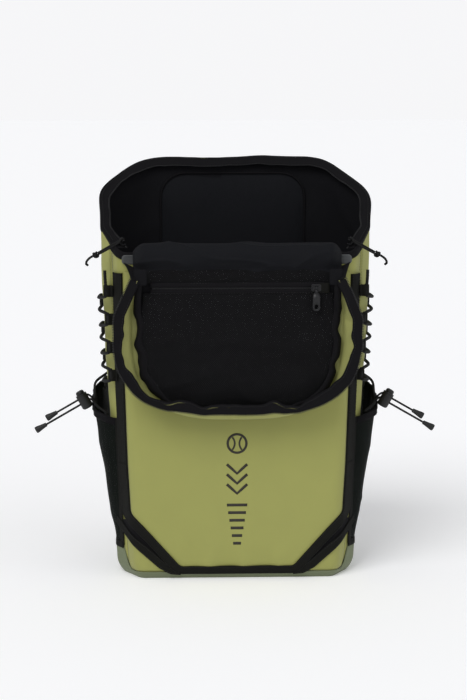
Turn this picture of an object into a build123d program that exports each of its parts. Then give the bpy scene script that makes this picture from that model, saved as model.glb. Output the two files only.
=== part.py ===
from build123d import *
from math import atan2, cos, degrees, hypot, radians, sin
import os

# Racket backpack, standing on its base, in millimetres.
# +Z is up, the front faces -Y, the wearer's back is at +Y, and the origin is under the middle of the base.
# The mouth is cut on a slope. A tray-shaped lid closes it, hinged along the front edge, and rests hanging open
# in front of the pack. Lid parts are modelled closed, on the mouth's plane, and then swung open.

# ---- driving dimensions ------------------------------------------------------------------------------------

HALF_DEPTH = 82.5
BASE_HALF_WIDTH = 152.0
SIDE_FLARE = 0.047            # half width gained per mm of height
FRONT_CORNER = (25.0, 42.0)   # bevel at the front corners: across X, along Y
BACK_CORNER = (56.0, 58.0)    # bevel at the back corners
FRONT_CORNER_RADIUS = 18.0
BACK_CORNER_RADIUS = 45.0
LEAST_RADIUS = 5.0
CORE_TOP = 600.0              # helper solids run up past the rim, and are cut by it

RIM_FRONT_HEIGHT = 420.0
RIM_SLOPE = 35.0              # degrees

SHELL = 2.5                   # outer fabric panels
SEAM_GAP = 0.4                # between panels that are sewn together
LINING_INSET = 5.4
LINING = 1.2
BASE_SIDE_HEIGHT = 46.0
BASE_FRONT_HEIGHT = 9.0
PANEL_SEAM_Y = 62.0           # where the side panels meet the front and the back

TAPE_INSET = 11.5             # width of the zip tape on the mouth
TAPE = 1.2
COIL = 1.1
COIL_ON_TAPE = 0.5            # how far the coil overlaps its tape
COIL_DEPTH = 1.6              # how far the coil reaches below the mouth's plane, and above it
COIL_RISE = 0.6
COIL_GAP = 1.0
BACK_TRIM = 5.0               # the tape is this much wider along the back edge
LID_TAPE_INSET = TAPE_INSET + 2 * COIL + COIL_GAP
LID_TAPE_WIDTH = 11.5
LID_DEPTH = 26.0              # height of the closed lid above the mouth
LID_SKIN = 2.0
LID_PANEL = [(128.0, -70.0), (132.0, 50.0), (128.0, 140.0), (100.0, 188.0)]
LID_START = 2.0               # where the lid's edge starts, up the slope from the mouth's front edge
LID_ROOT = -8.0               # where the lid's top panel starts, next to the hinge
LID_GUSSET_ROOT = 10.0        # where its side walls start, down at the mouth's plane

HINGE_BELOW = 21.0            # hinge line, down the slope from the mouth's front edge
HINGE_ABOVE = 18.0            # hinge line, above the mouth's plane
LID_OPEN_ANGLE = 235.0
FOLD_RADIUS = 9.0
FOLD_HALF_LENGTH = 133.0
FOLD_WEB_HALF_LENGTH = 122.0

CORD_RADIUS = 1.6
WEBBING = 1.6

# ---- planes and shared shapes ------------------------------------------------------------------------------

SLOPE = radians(RIM_SLOPE)
RIM = Plane(
    origin=(0, -HALF_DEPTH, RIM_FRONT_HEIGHT),
    x_dir=(1, 0, 0),
    z_dir=(0, -sin(SLOPE), cos(SLOPE)),
)
HINGE_POINT = RIM.from_local_coords(Vector(0, -HINGE_BELOW, HINGE_ABOVE))
HINGE = Axis(HINGE_POINT, (1, 0, 0))


def half_width(height):
    return BASE_HALF_WIDTH + SIDE_FLARE * height


def both_sides(right):
    """The corners of a closed outline, counter-clockwise, from those of its right half, front to back."""
    return right + [(-x, y) for x, y in reversed(right)]


def shrink(corners, inset):
    """Moves the corners of a convex counter-clockwise outline inwards. A negative inset grows it."""
    points = [Vector(x, y) for x, y in corners]
    moved = []
    for before, here, after in zip(points[-1:] + points[:-1], points, points[1:] + points[:1]):
        came = (here - before).normalized()
        goes = (after - here).normalized()
        normals = Vector(-came.Y, came.X) + Vector(-goes.Y, goes.X)
        moved.append(here + normals * (inset / (1 + came.dot(goes))))
    return moved


def rounded_face(corners, inset, middle):
    """An outline's face, with its front and back corners rounded. middle parts front corners from back ones."""
    with BuildSketch() as face:
        with BuildLine():
            Polyline(*shrink(corners, inset), close=True)
        make_face()
        front = face.vertices().filter_by(lambda v: v.Y < middle)
        fillet(front, max(FRONT_CORNER_RADIUS - inset, LEAST_RADIUS))
        back = face.vertices().filter_by(lambda v: v.Y > middle)
        fillet(back, max(BACK_CORNER_RADIUS - inset, LEAST_RADIUS))
    return face.sketch


def plan_face(height, inset):
    """The pack's outline at a height, seen from above."""
    edge = half_width(height)
    right = [
        (edge - FRONT_CORNER[0], -HALF_DEPTH),
        (edge, -HALF_DEPTH + FRONT_CORNER[1]),
        (edge, HALF_DEPTH - BACK_CORNER[1]),
        (edge - BACK_CORNER[0], HALF_DEPTH),
    ]
    return rounded_face(both_sides(right), inset, middle=0)


def core(inset):
    """The whole body as a solid, shrunk by inset, with its bottom edge eased."""
    steps = [(inset, 18.0), (6.0 + inset / 2, 8.0), (24.0, 0.0), (CORE_TOP, 0.0)]
    with BuildPart() as solid:
        for height, ease in steps:
            with BuildSketch(Plane.XY.offset(height)):
                add(plan_face(height, inset + ease))
        loft(ruled=True)
    return solid.part


def layer(inner, outer, below_rim):
    """A skin that follows the body between two insets, cut off below the mouth's plane."""
    with BuildPart() as skin:
        add(core(outer))
        add(core(inner), mode=Mode.SUBTRACT)
        split(bisect_by=RIM.offset(-below_rim), keep=Keep.BOTTOM)
    return skin.part


def mouth_corners(trim, reach):
    """The mouth's right-hand corners on its own plane. reach carries the front ones on past the front edge."""
    stations = [
        (0.0, FRONT_CORNER[0]),
        (FRONT_CORNER[1], 0.0),
        (2 * HALF_DEPTH - BACK_CORNER[1], 0.0),
        (2 * HALF_DEPTH, BACK_CORNER[0]),
    ]
    corners = []
    for depth, bevel in stations:
        along = depth / cos(SLOPE)
        height = RIM_FRONT_HEIGHT + along * sin(SLOPE)
        corners.append((half_width(height) - bevel, along - (trim if depth > HALF_DEPTH else 0)))
    (x0, y0), (x1, y1) = corners[:2]
    corners[0] = (x0 - reach * (x1 - x0) / (y1 - y0), y0 - reach)
    return corners


def mouth_face(inset, trim=BACK_TRIM, reach=40.0):
    return rounded_face(both_sides(mouth_corners(trim, reach)), inset, middle=90)


def lid_face(inset):
    """The lid's top panel, on the mouth's plane."""
    return rounded_face(both_sides(LID_PANEL), inset, middle=90)


def zip_half(tape_outer, tape_inner, coil_outer, coil_inner, start, outer_trim=BACK_TRIM):
    """One half of the main zip: a flat band round the mouth with a coil along one edge."""
    with BuildPart() as half:
        for outer, inner, bottom, top, trim in (
            (tape_outer, tape_inner, -TAPE, 0.0, outer_trim),
            (coil_outer, coil_inner, -COIL_DEPTH, COIL_RISE, BACK_TRIM),
        ):
            with BuildSketch(RIM.offset(bottom)):
                add(mouth_face(outer, trim=trim))
                add(mouth_face(inner), mode=Mode.SUBTRACT)
                with Locations((0, start - 100)):
                    Rectangle(500, 200, mode=Mode.SUBTRACT)
            extrude(amount=top - bottom)
    return half.part


def prism(points, plane, amount):
    """A polygon on a plane, extruded."""
    with BuildPart() as solid:
        with BuildSketch(plane):
            with BuildLine():
                Polyline(*points, close=True)
            make_face()
        extrude(amount=amount)
    return solid.part


def cord(points, radius=CORD_RADIUS):
    """A round cord through points, with rounded bends."""
    with BuildPart() as solid:
        with BuildLine() as path:
            Polyline(*points)
        with BuildSketch(Plane(origin=path.line @ 0, z_dir=path.line % 0)):
            Circle(radius)
        sweep(path=path.line, transition=Transition.ROUND)
    return solid.part


def rounded_slab(width, height, thickness, plane, radius, centre=(0, 0)):
    """A flat pad with rounded corners, standing on a plane."""
    with BuildPart() as slab:
        with BuildSketch(plane):
            with Locations(centre):
                RectangleRounded(width, height, radius)
        extrude(amount=thickness)
    return slab.part


os.makedirs("parts", exist_ok=True)


def save(part, name):
    part.label = name
    export_step(part, f"parts/{name}.step")


def save_pair(right, name):
    """Writes a right-hand piece and its mirror image."""
    save(right, f"{name}_right")
    save(mirror(right, about=Plane.YZ), f"{name}_left")


def save_lid(closed, name):
    """Writes a piece of the lid, swung from closed to its rest pose, hanging open."""
    save(closed.rotate(HINGE, LID_OPEN_ANGLE), name)


# ---- body panels -------------------------------------------------------------------------------------------

shell = layer(inner=SHELL, outer=0.0, below_rim=TAPE + 0.4)
FRONT_ZONE = -PANEL_SEAM_Y

with BuildPart() as base_panel:
    add(shell)
    with Locations((0, 0, BASE_SIDE_HEIGHT / 2)):
        Box(400, 300, BASE_SIDE_HEIGHT, mode=Mode.INTERSECT)
    with Locations((0, FRONT_ZONE - 50, BASE_FRONT_HEIGHT + 50)):
        Box(400, 100, 100, mode=Mode.SUBTRACT)
save(base_panel.part, "base_panel")

with BuildPart() as front_wall:
    add(shell)
    with Locations((0, FRONT_ZONE - 50, BASE_FRONT_HEIGHT + SEAM_GAP + 300)):
        Box(400, 100 - 2 * SEAM_GAP, 600, mode=Mode.INTERSECT)
save(front_wall.part, "front_wall")

upper_centre = BASE_SIDE_HEIGHT + SEAM_GAP + 300
with BuildPart() as side_panel:
    add(shell)
    with Locations((100, 0, upper_centre)):
        Box(200, 2 * (PANEL_SEAM_Y - SEAM_GAP), 600, mode=Mode.INTERSECT)
save_pair(side_panel.part, "side_panel")

with BuildPart() as back_panel:
    add(shell)
    with Locations((0, PANEL_SEAM_Y + 50, upper_centre)):
        Box(400, 100, 600, mode=Mode.INTERSECT)
save(back_panel.part, "back_panel")

save(layer(inner=LINING_INSET + LINING, outer=LINING_INSET, below_rim=TAPE + 0.6), "main_lining")

FRAME_SHEET = 2.0
frame_plane = Plane.XZ.offset(-(HALF_DEPTH - SHELL - 0.4))
save(rounded_slab(150, 470, FRAME_SHEET, frame_plane, 20, centre=(0, 265)), "frame_sheet")

# Padded divider: keeps the racket against the wearer's side of the bag.
DIVIDER_Y = 20.0
divider_plane = Plane.XZ.offset(-DIVIDER_Y)
save(rounded_slab(284, 388, 5, divider_plane, 24, centre=(0, 204)), "racket_divider")

# ---- front panel, its binding and corner straps --------------------------------------------------------------

panel_right = [(74.0, 18.0), (135.0, 86.0), (138.5, 150.0), (142.0, 260.0), (144.0, 398.0)]
panel_outline = both_sides(panel_right)
BINDING_WIDTH = 13.0
WRAP_Y = -56.0                # the binding and the corner straps wrap round the corners as far as this
panel_layer = layer(inner=-0.6, outer=-6.6, below_rim=10)
binding_layer = layer(inner=-0.6, outer=-4.6, below_rim=10)

with BuildPart() as front_panel:
    add(prism(panel_outline, Plane.XZ, 130))
    add(panel_layer, mode=Mode.INTERSECT)
save(front_panel.part, "front_panel")

with BuildPart() as front_binding:
    add(prism(shrink(panel_outline, -BINDING_WIDTH), Plane.XZ, 130))
    add(prism(shrink(panel_outline, -0.4), Plane.XZ, 130), mode=Mode.SUBTRACT)
    add(binding_layer, mode=Mode.INTERSECT)
    with Locations((0, -80, 500)):
        Box(320, 200, 2 * (500 - panel_right[-1][1]), mode=Mode.SUBTRACT)
    with Locations((0, WRAP_Y + 50, 250)):
        Box(400, 100, 500, mode=Mode.SUBTRACT)
save(front_binding.part, "front_binding")

strap_line = [(98.0, 6.0), (158.0, 73.0), (149.0, 81.0), (89.0, 14.0)]
strap_layer = layer(inner=-0.6, outer=-0.6 - WEBBING, below_rim=10)
with BuildPart() as corner_strap:
    add(prism(strap_line, Plane.XZ, 130))
    add(strap_layer, mode=Mode.INTERSECT)
    add(prism(shrink(panel_outline, -BINDING_WIDTH - 0.4), Plane.XZ, 130), mode=Mode.SUBTRACT)
    with Locations((0, WRAP_Y + 50, 250)):
        Box(400, 100, 500, mode=Mode.SUBTRACT)
save_pair(corner_strap.part, "corner_strap")

# ---- mouth: zip tape, coil, end garages and the rolled front edge ---------------------------------------------

save(
    zip_half(0.5, TAPE_INSET, TAPE_INSET - COIL_ON_TAPE, TAPE_INSET + COIL, start=LID_START, outer_trim=0),
    "mouth_zip",
)

garage_plane = Plane.XZ.offset(HALF_DEPTH + 0.5)
save_pair(rounded_slab(20, 12, 2, garage_plane, 5, centre=(135, 413)), "zip_garage")

roll_y, roll_z = HINGE_POINT.Y, HINGE_POINT.Z
with BuildPart() as lid_fold:
    with Locations(Location((0, roll_y, roll_z), (0, 90, 0))):
        Cylinder(FOLD_RADIUS, 2 * FOLD_HALF_LENGTH)
    with BuildSketch(Plane.YZ.offset(-FOLD_WEB_HALF_LENGTH)):
        with BuildLine():
            Polyline(
                (roll_y, roll_z - FOLD_RADIUS + 1),
                (-HALF_DEPTH - 0.6, 405),
                (-HALF_DEPTH - 0.6, 415),
                (roll_y + 4, roll_z + 6),
                close=True,
            )
        make_face()
    extrude(amount=2 * FOLD_WEB_HALF_LENGTH)
save(lid_fold.part, "lid_fold")

# ---- lid, modelled closed -------------------------------------------------------------------------------------

LID_EDGE = LID_TAPE_INSET + LID_TAPE_WIDTH + 1.2
with BuildPart() as lid_shell:
    for bottom, top, skin in ((-TAPE, LID_DEPTH, 0.0), (-TAPE - 1, LID_DEPTH - LID_SKIN, LID_SKIN)):
        with BuildSketch(RIM.offset(bottom)):
            add(mouth_face(LID_EDGE + skin, reach=70))
        with BuildSketch(RIM.offset(top)):
            add(lid_face(skin))
        loft(ruled=True, mode=Mode.SUBTRACT if skin else Mode.ADD)
    add(
        prism(
            [(LID_ROOT, 40), (LID_ROOT, 22), (LID_GUSSET_ROOT, -4), (LID_GUSSET_ROOT, -10), (-150, -10), (-150, 40)],
            Plane(origin=RIM.origin - Vector(250, 0, 0), x_dir=RIM.y_dir, z_dir=(1, 0, 0)),
            500,
        ),
        mode=Mode.SUBTRACT,
    )
save_lid(lid_shell.part, "lid_shell")

save_lid(
    zip_half(
        LID_TAPE_INSET,
        LID_TAPE_INSET + LID_TAPE_WIDTH,
        LID_TAPE_INSET - COIL,
        LID_TAPE_INSET + COIL_ON_TAPE,
        start=LID_START + 4,
    ),
    "lid_zip",
)

LINING_HEIGHT = 20.4
with BuildPart() as lid_lining:
    with BuildSketch(RIM.offset(LINING_HEIGHT)):
        add(lid_face(7.0))
        with Locations((0, LID_ROOT - 100)):
            Rectangle(500, 200, mode=Mode.SUBTRACT)
    extrude(amount=2)
save_lid(lid_lining.part, "lid_lining")

MESH_HEIGHT = 17.4
MESH = 1.4
POCKET_ZIP_AT = 22.0          # the pocket's zip, up the slope from the mouth's front edge
POCKET_ZIP_HALF_LENGTH = 109.0
POCKET_TAPE = 12.0
with BuildPart() as mesh_pocket:
    with BuildSketch(RIM.offset(MESH_HEIGHT)):
        add(lid_face(10.0))
        with Locations((0, LID_ROOT - 96)):
            Rectangle(500, 200, mode=Mode.SUBTRACT)
        with Locations((0, POCKET_ZIP_AT)):
            Rectangle(2 * POCKET_ZIP_HALF_LENGTH + 0.6, POCKET_TAPE + 0.6, mode=Mode.SUBTRACT)
    extrude(amount=MESH)
save_lid(mesh_pocket.part, "lid_mesh_pocket")

with BuildPart() as pocket_zip:
    with BuildSketch(RIM.offset(MESH_HEIGHT)):
        with Locations((0, POCKET_ZIP_AT)):
            Rectangle(2 * POCKET_ZIP_HALF_LENGTH, POCKET_TAPE)
    extrude(amount=MESH)
    with BuildSketch(RIM.offset(MESH_HEIGHT - 1.0)):
        with Locations((0, POCKET_ZIP_AT)):
            Rectangle(2 * POCKET_ZIP_HALF_LENGTH - 6, 3.0)
    extrude(amount=1.2)
save_lid(pocket_zip.part, "lid_pocket_zip")

# ---- zip sliders and their pulls ------------------------------------------------------------------------------
# A slider is modelled with its zip along X and its bail standing up along Z. The pull turns on the bail's bar.

BAR_RADIUS = 1.0
BAR_HEIGHT = 5.6
EYE_CLEARANCE = 0.06


def slider(wing):
    """wing is how far each side of the bottom plate reaches across the zip."""
    with BuildPart() as body:
        with Locations((0, 0, 0.9)):
            Box(12, 2 * wing, 1.6)
        fillet(body.edges().filter_by(Axis.Z), 2.0)
        with Locations((-2.9, 0, 4.2), (2.9, 0, 4.2)):
            Box(1.4, 3.2, 5.2)
        with Locations(Location((0, 0, BAR_HEIGHT), (0, 90, 0))):
            Cylinder(BAR_RADIUS, 5.0)
    return body.part


def pull_eye():
    """The eye of a pull, round the bail's bar."""
    with BuildPart() as eye:
        with BuildSketch(Plane.YZ.offset(-1.8)):
            with Locations((0, BAR_HEIGHT)):
                Circle(2.4)
                Circle(BAR_RADIUS + EYE_CLEARANCE, mode=Mode.SUBTRACT)
        extrude(amount=3.6)
    return eye.part


with BuildPart() as plate_pull:
    add(pull_eye())
    with Locations((0, -4.2, BAR_HEIGHT)):
        Box(3.6, 4.4, 1.8)
    with BuildSketch(Plane.XY.offset(BAR_HEIGHT - 0.9)):
        with Locations((0, -17)):
            RectangleRounded(9, 23, 3.5)
        with Locations((0, -23.5)):
            RectangleRounded(5, 6, 2, mode=Mode.SUBTRACT)
    extrude(amount=1.8)

SLIDER_AT = 98.0
lid_inside = Plane(
    origin=RIM.from_local_coords(Vector(SLIDER_AT, POCKET_ZIP_AT, MESH_HEIGHT - 1.4)),
    x_dir=(1, 0, 0),
    z_dir=-RIM.z_dir,
)
save_lid(lid_inside.location * slider(wing=4.5), "pocket_slider")
save_lid(lid_inside.location * plate_pull.part, "pocket_pull")

# The main zip's sliders wait at the foot of the bevels at the mouth's front corners.
(x0, y0), (x1, y1) = mouth_corners(0, 0)[:2]
bevel_length = hypot(x1 - x0, y1 - y0)
BEVEL_DIRECTION = Vector((x1 - x0) / bevel_length, (y1 - y0) / bevel_length)
coil_inset = TAPE_INSET + COIL / 2
slider_foot = Vector(x0, y0) + BEVEL_DIRECTION * 17 + Vector(-BEVEL_DIRECTION.Y, BEVEL_DIRECTION.X) * coil_inset
slider_plane = Plane(
    origin=RIM.from_local_coords(Vector(slider_foot.X, slider_foot.Y, 0.7)),
    x_dir=RIM.from_local_coords(BEVEL_DIRECTION) - RIM.origin,
    z_dir=RIM.z_dir,
)
PULL_DROOP = 15.0             # the cord pull hangs this far below the mouth's plane, in degrees
SLIDER_WING = 4.0

with BuildPart() as mouth_slider:
    add(slider(wing=SLIDER_WING))
    with Locations((0, SLIDER_WING, 2)):
        Box(20, SLIDER_WING * 2 - 2.4, 20, mode=Mode.SUBTRACT)
save_pair(slider_plane.location * mouth_slider.part, "mouth_slider")

with BuildPart() as cord_pull:
    add(pull_eye())
    with Locations(Location((0, -24, BAR_HEIGHT), (90, 0, 0))):
        Cylinder(CORD_RADIUS, 44)
    with Locations(Location((0, -50, BAR_HEIGHT), (90, 0, 0))):
        Cone(2.6, 3.4, 14)
turned_pull = cord_pull.part.rotate(Axis((0, 0, BAR_HEIGHT), (1, 0, 0)), PULL_DROOP)
save_pair(slider_plane.location * turned_pull, "cord_pull")

# ---- side pockets, their cords and cord locks -----------------------------------------------------------------

POCKET_FOOT = 48.0
POCKET_TOP = 262.0
POCKET_WALL = 1.8
HEM_PLANE = Plane(origin=(0, -50, 208), x_dir=(1, 0, 0), z_dir=(0, -sin(radians(24)), cos(radians(24))))


def pocket_corners(height, bulge):
    edge = half_width(height)
    return [(edge - 40, -50.0), (edge - 4.0, -54.0), (edge + bulge, -30.0), (edge + bulge, 22.0), (edge, 44.0), (edge - 40, 44.0)]


def pocket_block(inset):
    with BuildPart() as block:
        for height, bulge in ((POCKET_FOOT, 2.6), (POCKET_TOP, 23.0)):
            with BuildSketch(Plane.XY.offset(height)):
                with BuildLine():
                    Polyline(*shrink(pocket_corners(height, bulge), inset), close=True)
                make_face()
        loft(ruled=True)
    return block.part


body_clearance = core(-0.6)
with BuildPart() as side_pocket:
    add(pocket_block(0.0))
    add(pocket_block(POCKET_WALL), mode=Mode.SUBTRACT)
    add(body_clearance, mode=Mode.SUBTRACT)
    split(bisect_by=HEM_PLANE, keep=Keep.BOTTOM)
save_pair(side_pocket.part.solids().sort_by(SortBy.VOLUME)[-1], "side_pocket")


def hem_point(x_out, y):
    """A point just above the pocket's sloping hem, x_out outside the body."""
    height = HEM_PLANE.origin.Z + (y - HEM_PLANE.origin.Y) * sin(radians(24)) / cos(radians(24)) + 2.4
    return Vector(half_width(height) + x_out, y, height)


CORD_DROP = 30.0              # the cord tails run out and down at this angle
tail_direction = Vector(cos(radians(CORD_DROP)), 0, -sin(radians(CORD_DROP)))
tail_normal = Vector(sin(radians(CORD_DROP)), 0, cos(radians(CORD_DROP)))
lock_centre = hem_point(32.0, -26.0) + tail_normal * 5
TAIL_SPACING = 3.4            # each tail's distance from the lock's centre line
tail_lengths = {-TAIL_SPACING: 58.0, TAIL_SPACING: 38.0}

with BuildPart() as pocket_cord:
    add(cord([hem_point(5.0, -47), hem_point(19.5, -28), hem_point(19.5, 20), hem_point(5.0, 40)]))
    for offset, length in tail_lengths.items():
        line = lock_centre + tail_normal * offset
        add(cord([hem_point(19.5, -24 + offset), line - tail_direction * 9, line + tail_direction * length]))
save_pair(pocket_cord.part, "pocket_cord")

END_LENGTH = 16.0
with BuildPart() as cord_ends:
    for offset, length in tail_lengths.items():
        foot = lock_centre + tail_normal * offset + tail_direction * (length + 0.3 + END_LENGTH / 2)
        with Locations(Plane(origin=foot, z_dir=tail_direction)):
            Cone(2.8, 4.4, END_LENGTH)
save_pair(cord_ends.part, "cord_ends")

# A cord lock is modelled upright, with the tails along X: a barrel, a slotted button and a spring under it.
LOCK_RADIUS = 7.4
LOCK_LOW, LOCK_HIGH = -12.0, 8.0
BORE_RADIUS = 5.6
BORE_FLOOR = -10.0
BUTTON_LOW, BUTTON_HIGH = -6.0, 13.0
SLOT = 4.4
lock_plane = Plane(origin=lock_centre, x_dir=tail_direction, z_dir=tail_normal)

with BuildPart() as lock_barrel:
    with Locations((0, 0, (LOCK_LOW + LOCK_HIGH) / 2)):
        Cylinder(LOCK_RADIUS, LOCK_HIGH - LOCK_LOW)
    fillet(lock_barrel.edges().sort_by(Axis.Z)[0], 3)
    with Locations((0, 0, BORE_FLOOR)):
        Cylinder(BORE_RADIUS, 40, align=(Align.CENTER, Align.CENTER, Align.MIN), mode=Mode.SUBTRACT)
    Box(20, SLOT, 2 * TAIL_SPACING + SLOT, mode=Mode.SUBTRACT)
save_pair(lock_plane.location * lock_barrel.part, "cord_lock")

with BuildPart() as lock_button:
    with Locations((0, 0, BUTTON_LOW)):
        Cylinder(BORE_RADIUS - 0.06, BUTTON_HIGH - BUTTON_LOW, align=(Align.CENTER, Align.CENTER, Align.MIN))
    fillet(lock_button.edges().sort_by(Axis.Z)[-1], 2.5)
    with Locations((0, 0, 1.4)):
        Box(20, SLOT, 2 * TAIL_SPACING + SLOT + 2.4, mode=Mode.SUBTRACT)
save_pair(lock_plane.location * lock_button.part, "lock_button")

SPRING_RADIUS = 3.6
SPRING_WIRE = 0.4
with BuildPart() as lock_spring:
    spring_foot = BORE_FLOOR + SPRING_WIRE + 0.1
    with BuildLine(Plane.XY.offset(spring_foot)) as coil:
        Helix(pitch=1.5, height=BUTTON_LOW - BORE_FLOOR - 2 * SPRING_WIRE - 0.2, radius=SPRING_RADIUS)
    with BuildSketch(Plane(origin=coil.line @ 0, z_dir=coil.line % 0)):
        Circle(SPRING_WIRE)
    sweep(path=coil.line)
save_pair(lock_plane.location * lock_spring.part, "lock_spring")

# ---- side lacing -----------------------------------------------------------------------------------------------

FRONT_LACE_OUT = 8.4          # clear of the binding
BACK_LACE_OUT = 4.0
LOOP_STEP = 36.0
FRONT_LOOPS = [372.0 - LOOP_STEP * i for i in range(4)]
BACK_LOOPS = [height - LOOP_STEP / 2 for height in FRONT_LOOPS]
BEVEL_TURN = degrees(atan2(FRONT_CORNER[0], FRONT_CORNER[1]))


def front_spot(height, out):
    """A point out from the middle of the bevelled front corner."""
    edge = half_width(height)
    return Vector(edge - 11 + out * cos(radians(BEVEL_TURN)), -64 - out * sin(radians(BEVEL_TURN)), height)


def back_spot(height, out):
    return Vector(half_width(height) + out, -6, height)


with BuildPart() as lacing_loops:
    spots = [(front_spot(z, FRONT_LACE_OUT), -BEVEL_TURN) for z in FRONT_LOOPS]
    spots += [(back_spot(z, BACK_LACE_OUT), 0) for z in BACK_LOOPS]
    for spot, turn in spots:
        with Locations(Location(tuple(spot), (0, 0, turn))):
            Box(6.6, 12, 9)
            Box(4.6, 8, 20, mode=Mode.SUBTRACT)
save_pair(lacing_loops.part, "lacing_loops")

lace_points = [front_spot(398, FRONT_LACE_OUT)]
for front_z, back_z in zip(FRONT_LOOPS, BACK_LOOPS):
    lace_points += [front_spot(front_z + 6, FRONT_LACE_OUT), front_spot(front_z - 6, FRONT_LACE_OUT)]
    lace_points += [Vector(half_width(front_z) + 4.6, -43, (front_z + back_z) / 2 - 1)]
    lace_points += [back_spot(back_z + 6, BACK_LACE_OUT), back_spot(back_z - 6, BACK_LACE_OUT)]
    if back_z != BACK_LOOPS[-1]:
        lace_points += [Vector(half_width(back_z) + 4.6, -43, back_z - LOOP_STEP / 4 + 1)]
save_pair(cord(lace_points), "side_lace")

# ---- back: pads, yoke, carry loop and shoulder straps -----------------------------------------------------------

BACK_FACE = HALF_DEPTH + 0.5
PAD = 11.0
back_plane = Plane.XZ.offset(-(BACK_FACE + PAD))
save_pair(rounded_slab(62, 320, PAD, back_plane, 20, centre=(43, 296)), "back_pad")
save(rounded_slab(150, 76, PAD, back_plane, 22, centre=(0, 84)), "lumbar_pad")

YOKE = 4.0
yoke_plane = Plane.XZ.offset(-(BACK_FACE + YOKE))
save(rounded_slab(150, 46, YOKE, yoke_plane, 12, centre=(0, 486)), "yoke")

LOOP_FOOT = 496.0
loop_plane = Plane.XZ.offset(-(BACK_FACE + YOKE + 3.4))
with BuildPart() as carry_loop:
    with BuildSketch(loop_plane):
        with Locations((0, LOOP_FOOT + 14)):
            RectangleRounded(72, 28, 12)
            RectangleRounded(52, 12, 5, mode=Mode.SUBTRACT)
        with Locations((0, LOOP_FOOT)):
            Rectangle(52, 17, mode=Mode.SUBTRACT)
    extrude(amount=3)
save(carry_loop.part, "carry_loop")

STRAP = 9.0
strap_outline = [
    (38, 506), (44, 440), (50, 390), (52, 330), (62, 270), (80, 215), (92, 190),
    (122, 190), (120, 225), (116, 280), (112, 330), (108, 390), (98, 450), (94, 506),
]
strap_bow = [(92.4, 506), (100, 490), (107, 450), (110, 390), (110, 320), (107, 250), (104, 190)]
LOCK_Y, LOCK_Z, LOCK_X = 104.0, 174.0, 107.0
LOCK_THICKNESS = 4.0


def band(side_path, thickness, front_outline):
    """A strap: bent to side_path seen from the side, trimmed to front_outline seen from the back."""
    with BuildPart() as strap:
        with BuildSketch(Plane.YZ):
            with BuildLine():
                Polyline(*side_path)
            trace(line_width=thickness)
        extrude(amount=200)
        add(prism(front_outline, Plane.XZ.offset(-150), 100), mode=Mode.INTERSECT)
    return strap.part


with BuildPart() as shoulder_strap:
    add(band(strap_bow, STRAP, strap_outline))
    with BuildSketch(Plane.YZ.offset(LOCK_X - 12.5)):
        with Locations((LOCK_Y, LOCK_Z + 12)):
            Rectangle(7.2, 8.4)
            Rectangle(4.8, 5.6, mode=Mode.SUBTRACT)
    extrude(amount=25)
save_pair(shoulder_strap.part, "shoulder_strap")

with BuildPart() as ladder_lock:
    with BuildSketch(Plane.XZ.offset(-(LOCK_Y + LOCK_THICKNESS / 2))):
        with Locations((LOCK_X, LOCK_Z)):
            RectangleRounded(36, 27, 4)
            with Locations((0, 8), (0, 0), (0, -8)):
                Rectangle(28, 4.4, mode=Mode.SUBTRACT)
    extrude(amount=LOCK_THICKNESS)
save_pair(ladder_lock.part, "ladder_lock")

webbing_path = [(88.4, 64), (100.6, 160), (100.6, LOCK_Z), (107.4, LOCK_Z), (108.6, 150), (109.4, 88)]
webbing_outline = [(94.5, 178), (119.5, 178), (122, 86), (136, 62), (116, 62), (97, 86)]
save_pair(band(webbing_path, WEBBING, webbing_outline), "strap_webbing")

anchor_outline = [(98.0, 20.0), (142.0, 30.0), (140.0, 56.0), (116.0, 54.0)]
with BuildPart() as strap_anchor:
    with BuildSketch(Plane.XZ.offset(-(BACK_FACE + 3))):
        with BuildLine():
            Polyline(*anchor_outline, close=True)
        make_face()
    extrude(amount=2.6)
save_pair(strap_anchor.part, "strap_anchor")

# ---- sternum strap, unclipped: one half on each shoulder strap ---------------------------------------------------

STERNUM_Y = 115.2
STERNUM_Z = 392.0
sternum_plane = Plane.XZ.offset(-(STERNUM_Y + 3))
with BuildPart() as sternum_strap:
    with BuildSketch(sternum_plane):
        with BuildLine():
            Polyline((92, 384), (92, 400), (46, 400), (28, 350), (44, 346), (57, 384), close=True)
        make_face()
    extrude(amount=3)
save_pair(sternum_strap.part, "sternum_strap")

buckle_direction = Vector(-18, 0, -50).normalized()
buckle_top = Vector(35.5, STERNUM_Y + 1.5, 346.5)
buckle_plane = Plane(origin=buckle_top + buckle_direction, x_dir=(0, 1, 0), z_dir=buckle_direction)

with BuildPart() as buckle_female:
    with BuildSketch(buckle_plane):
        RectangleRounded(8, 26, 3)
    extrude(amount=26)
    with BuildSketch(buckle_plane.offset(6)):
        Rectangle(4.6, 21)
    extrude(amount=30, mode=Mode.SUBTRACT)
save(mirror(buckle_female.part, about=Plane.YZ), "buckle_female")

with BuildPart() as buckle_male:
    with BuildSketch(buckle_plane):
        RectangleRounded(7, 26, 3)
    extrude(amount=9)
    with BuildSketch(buckle_plane.offset(9)):
        with Locations((0, -7.6), (0, 0), (0, 7.6)):
            Rectangle(3.6, 3.6)
    extrude(amount=17)
save(buckle_male.part, "buckle_male")
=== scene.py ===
from functools import lru_cache
from math import atan2, cos, exp, pi, radians, sin, sqrt, tan

import bmesh
import bpy
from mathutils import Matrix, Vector, noise


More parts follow.
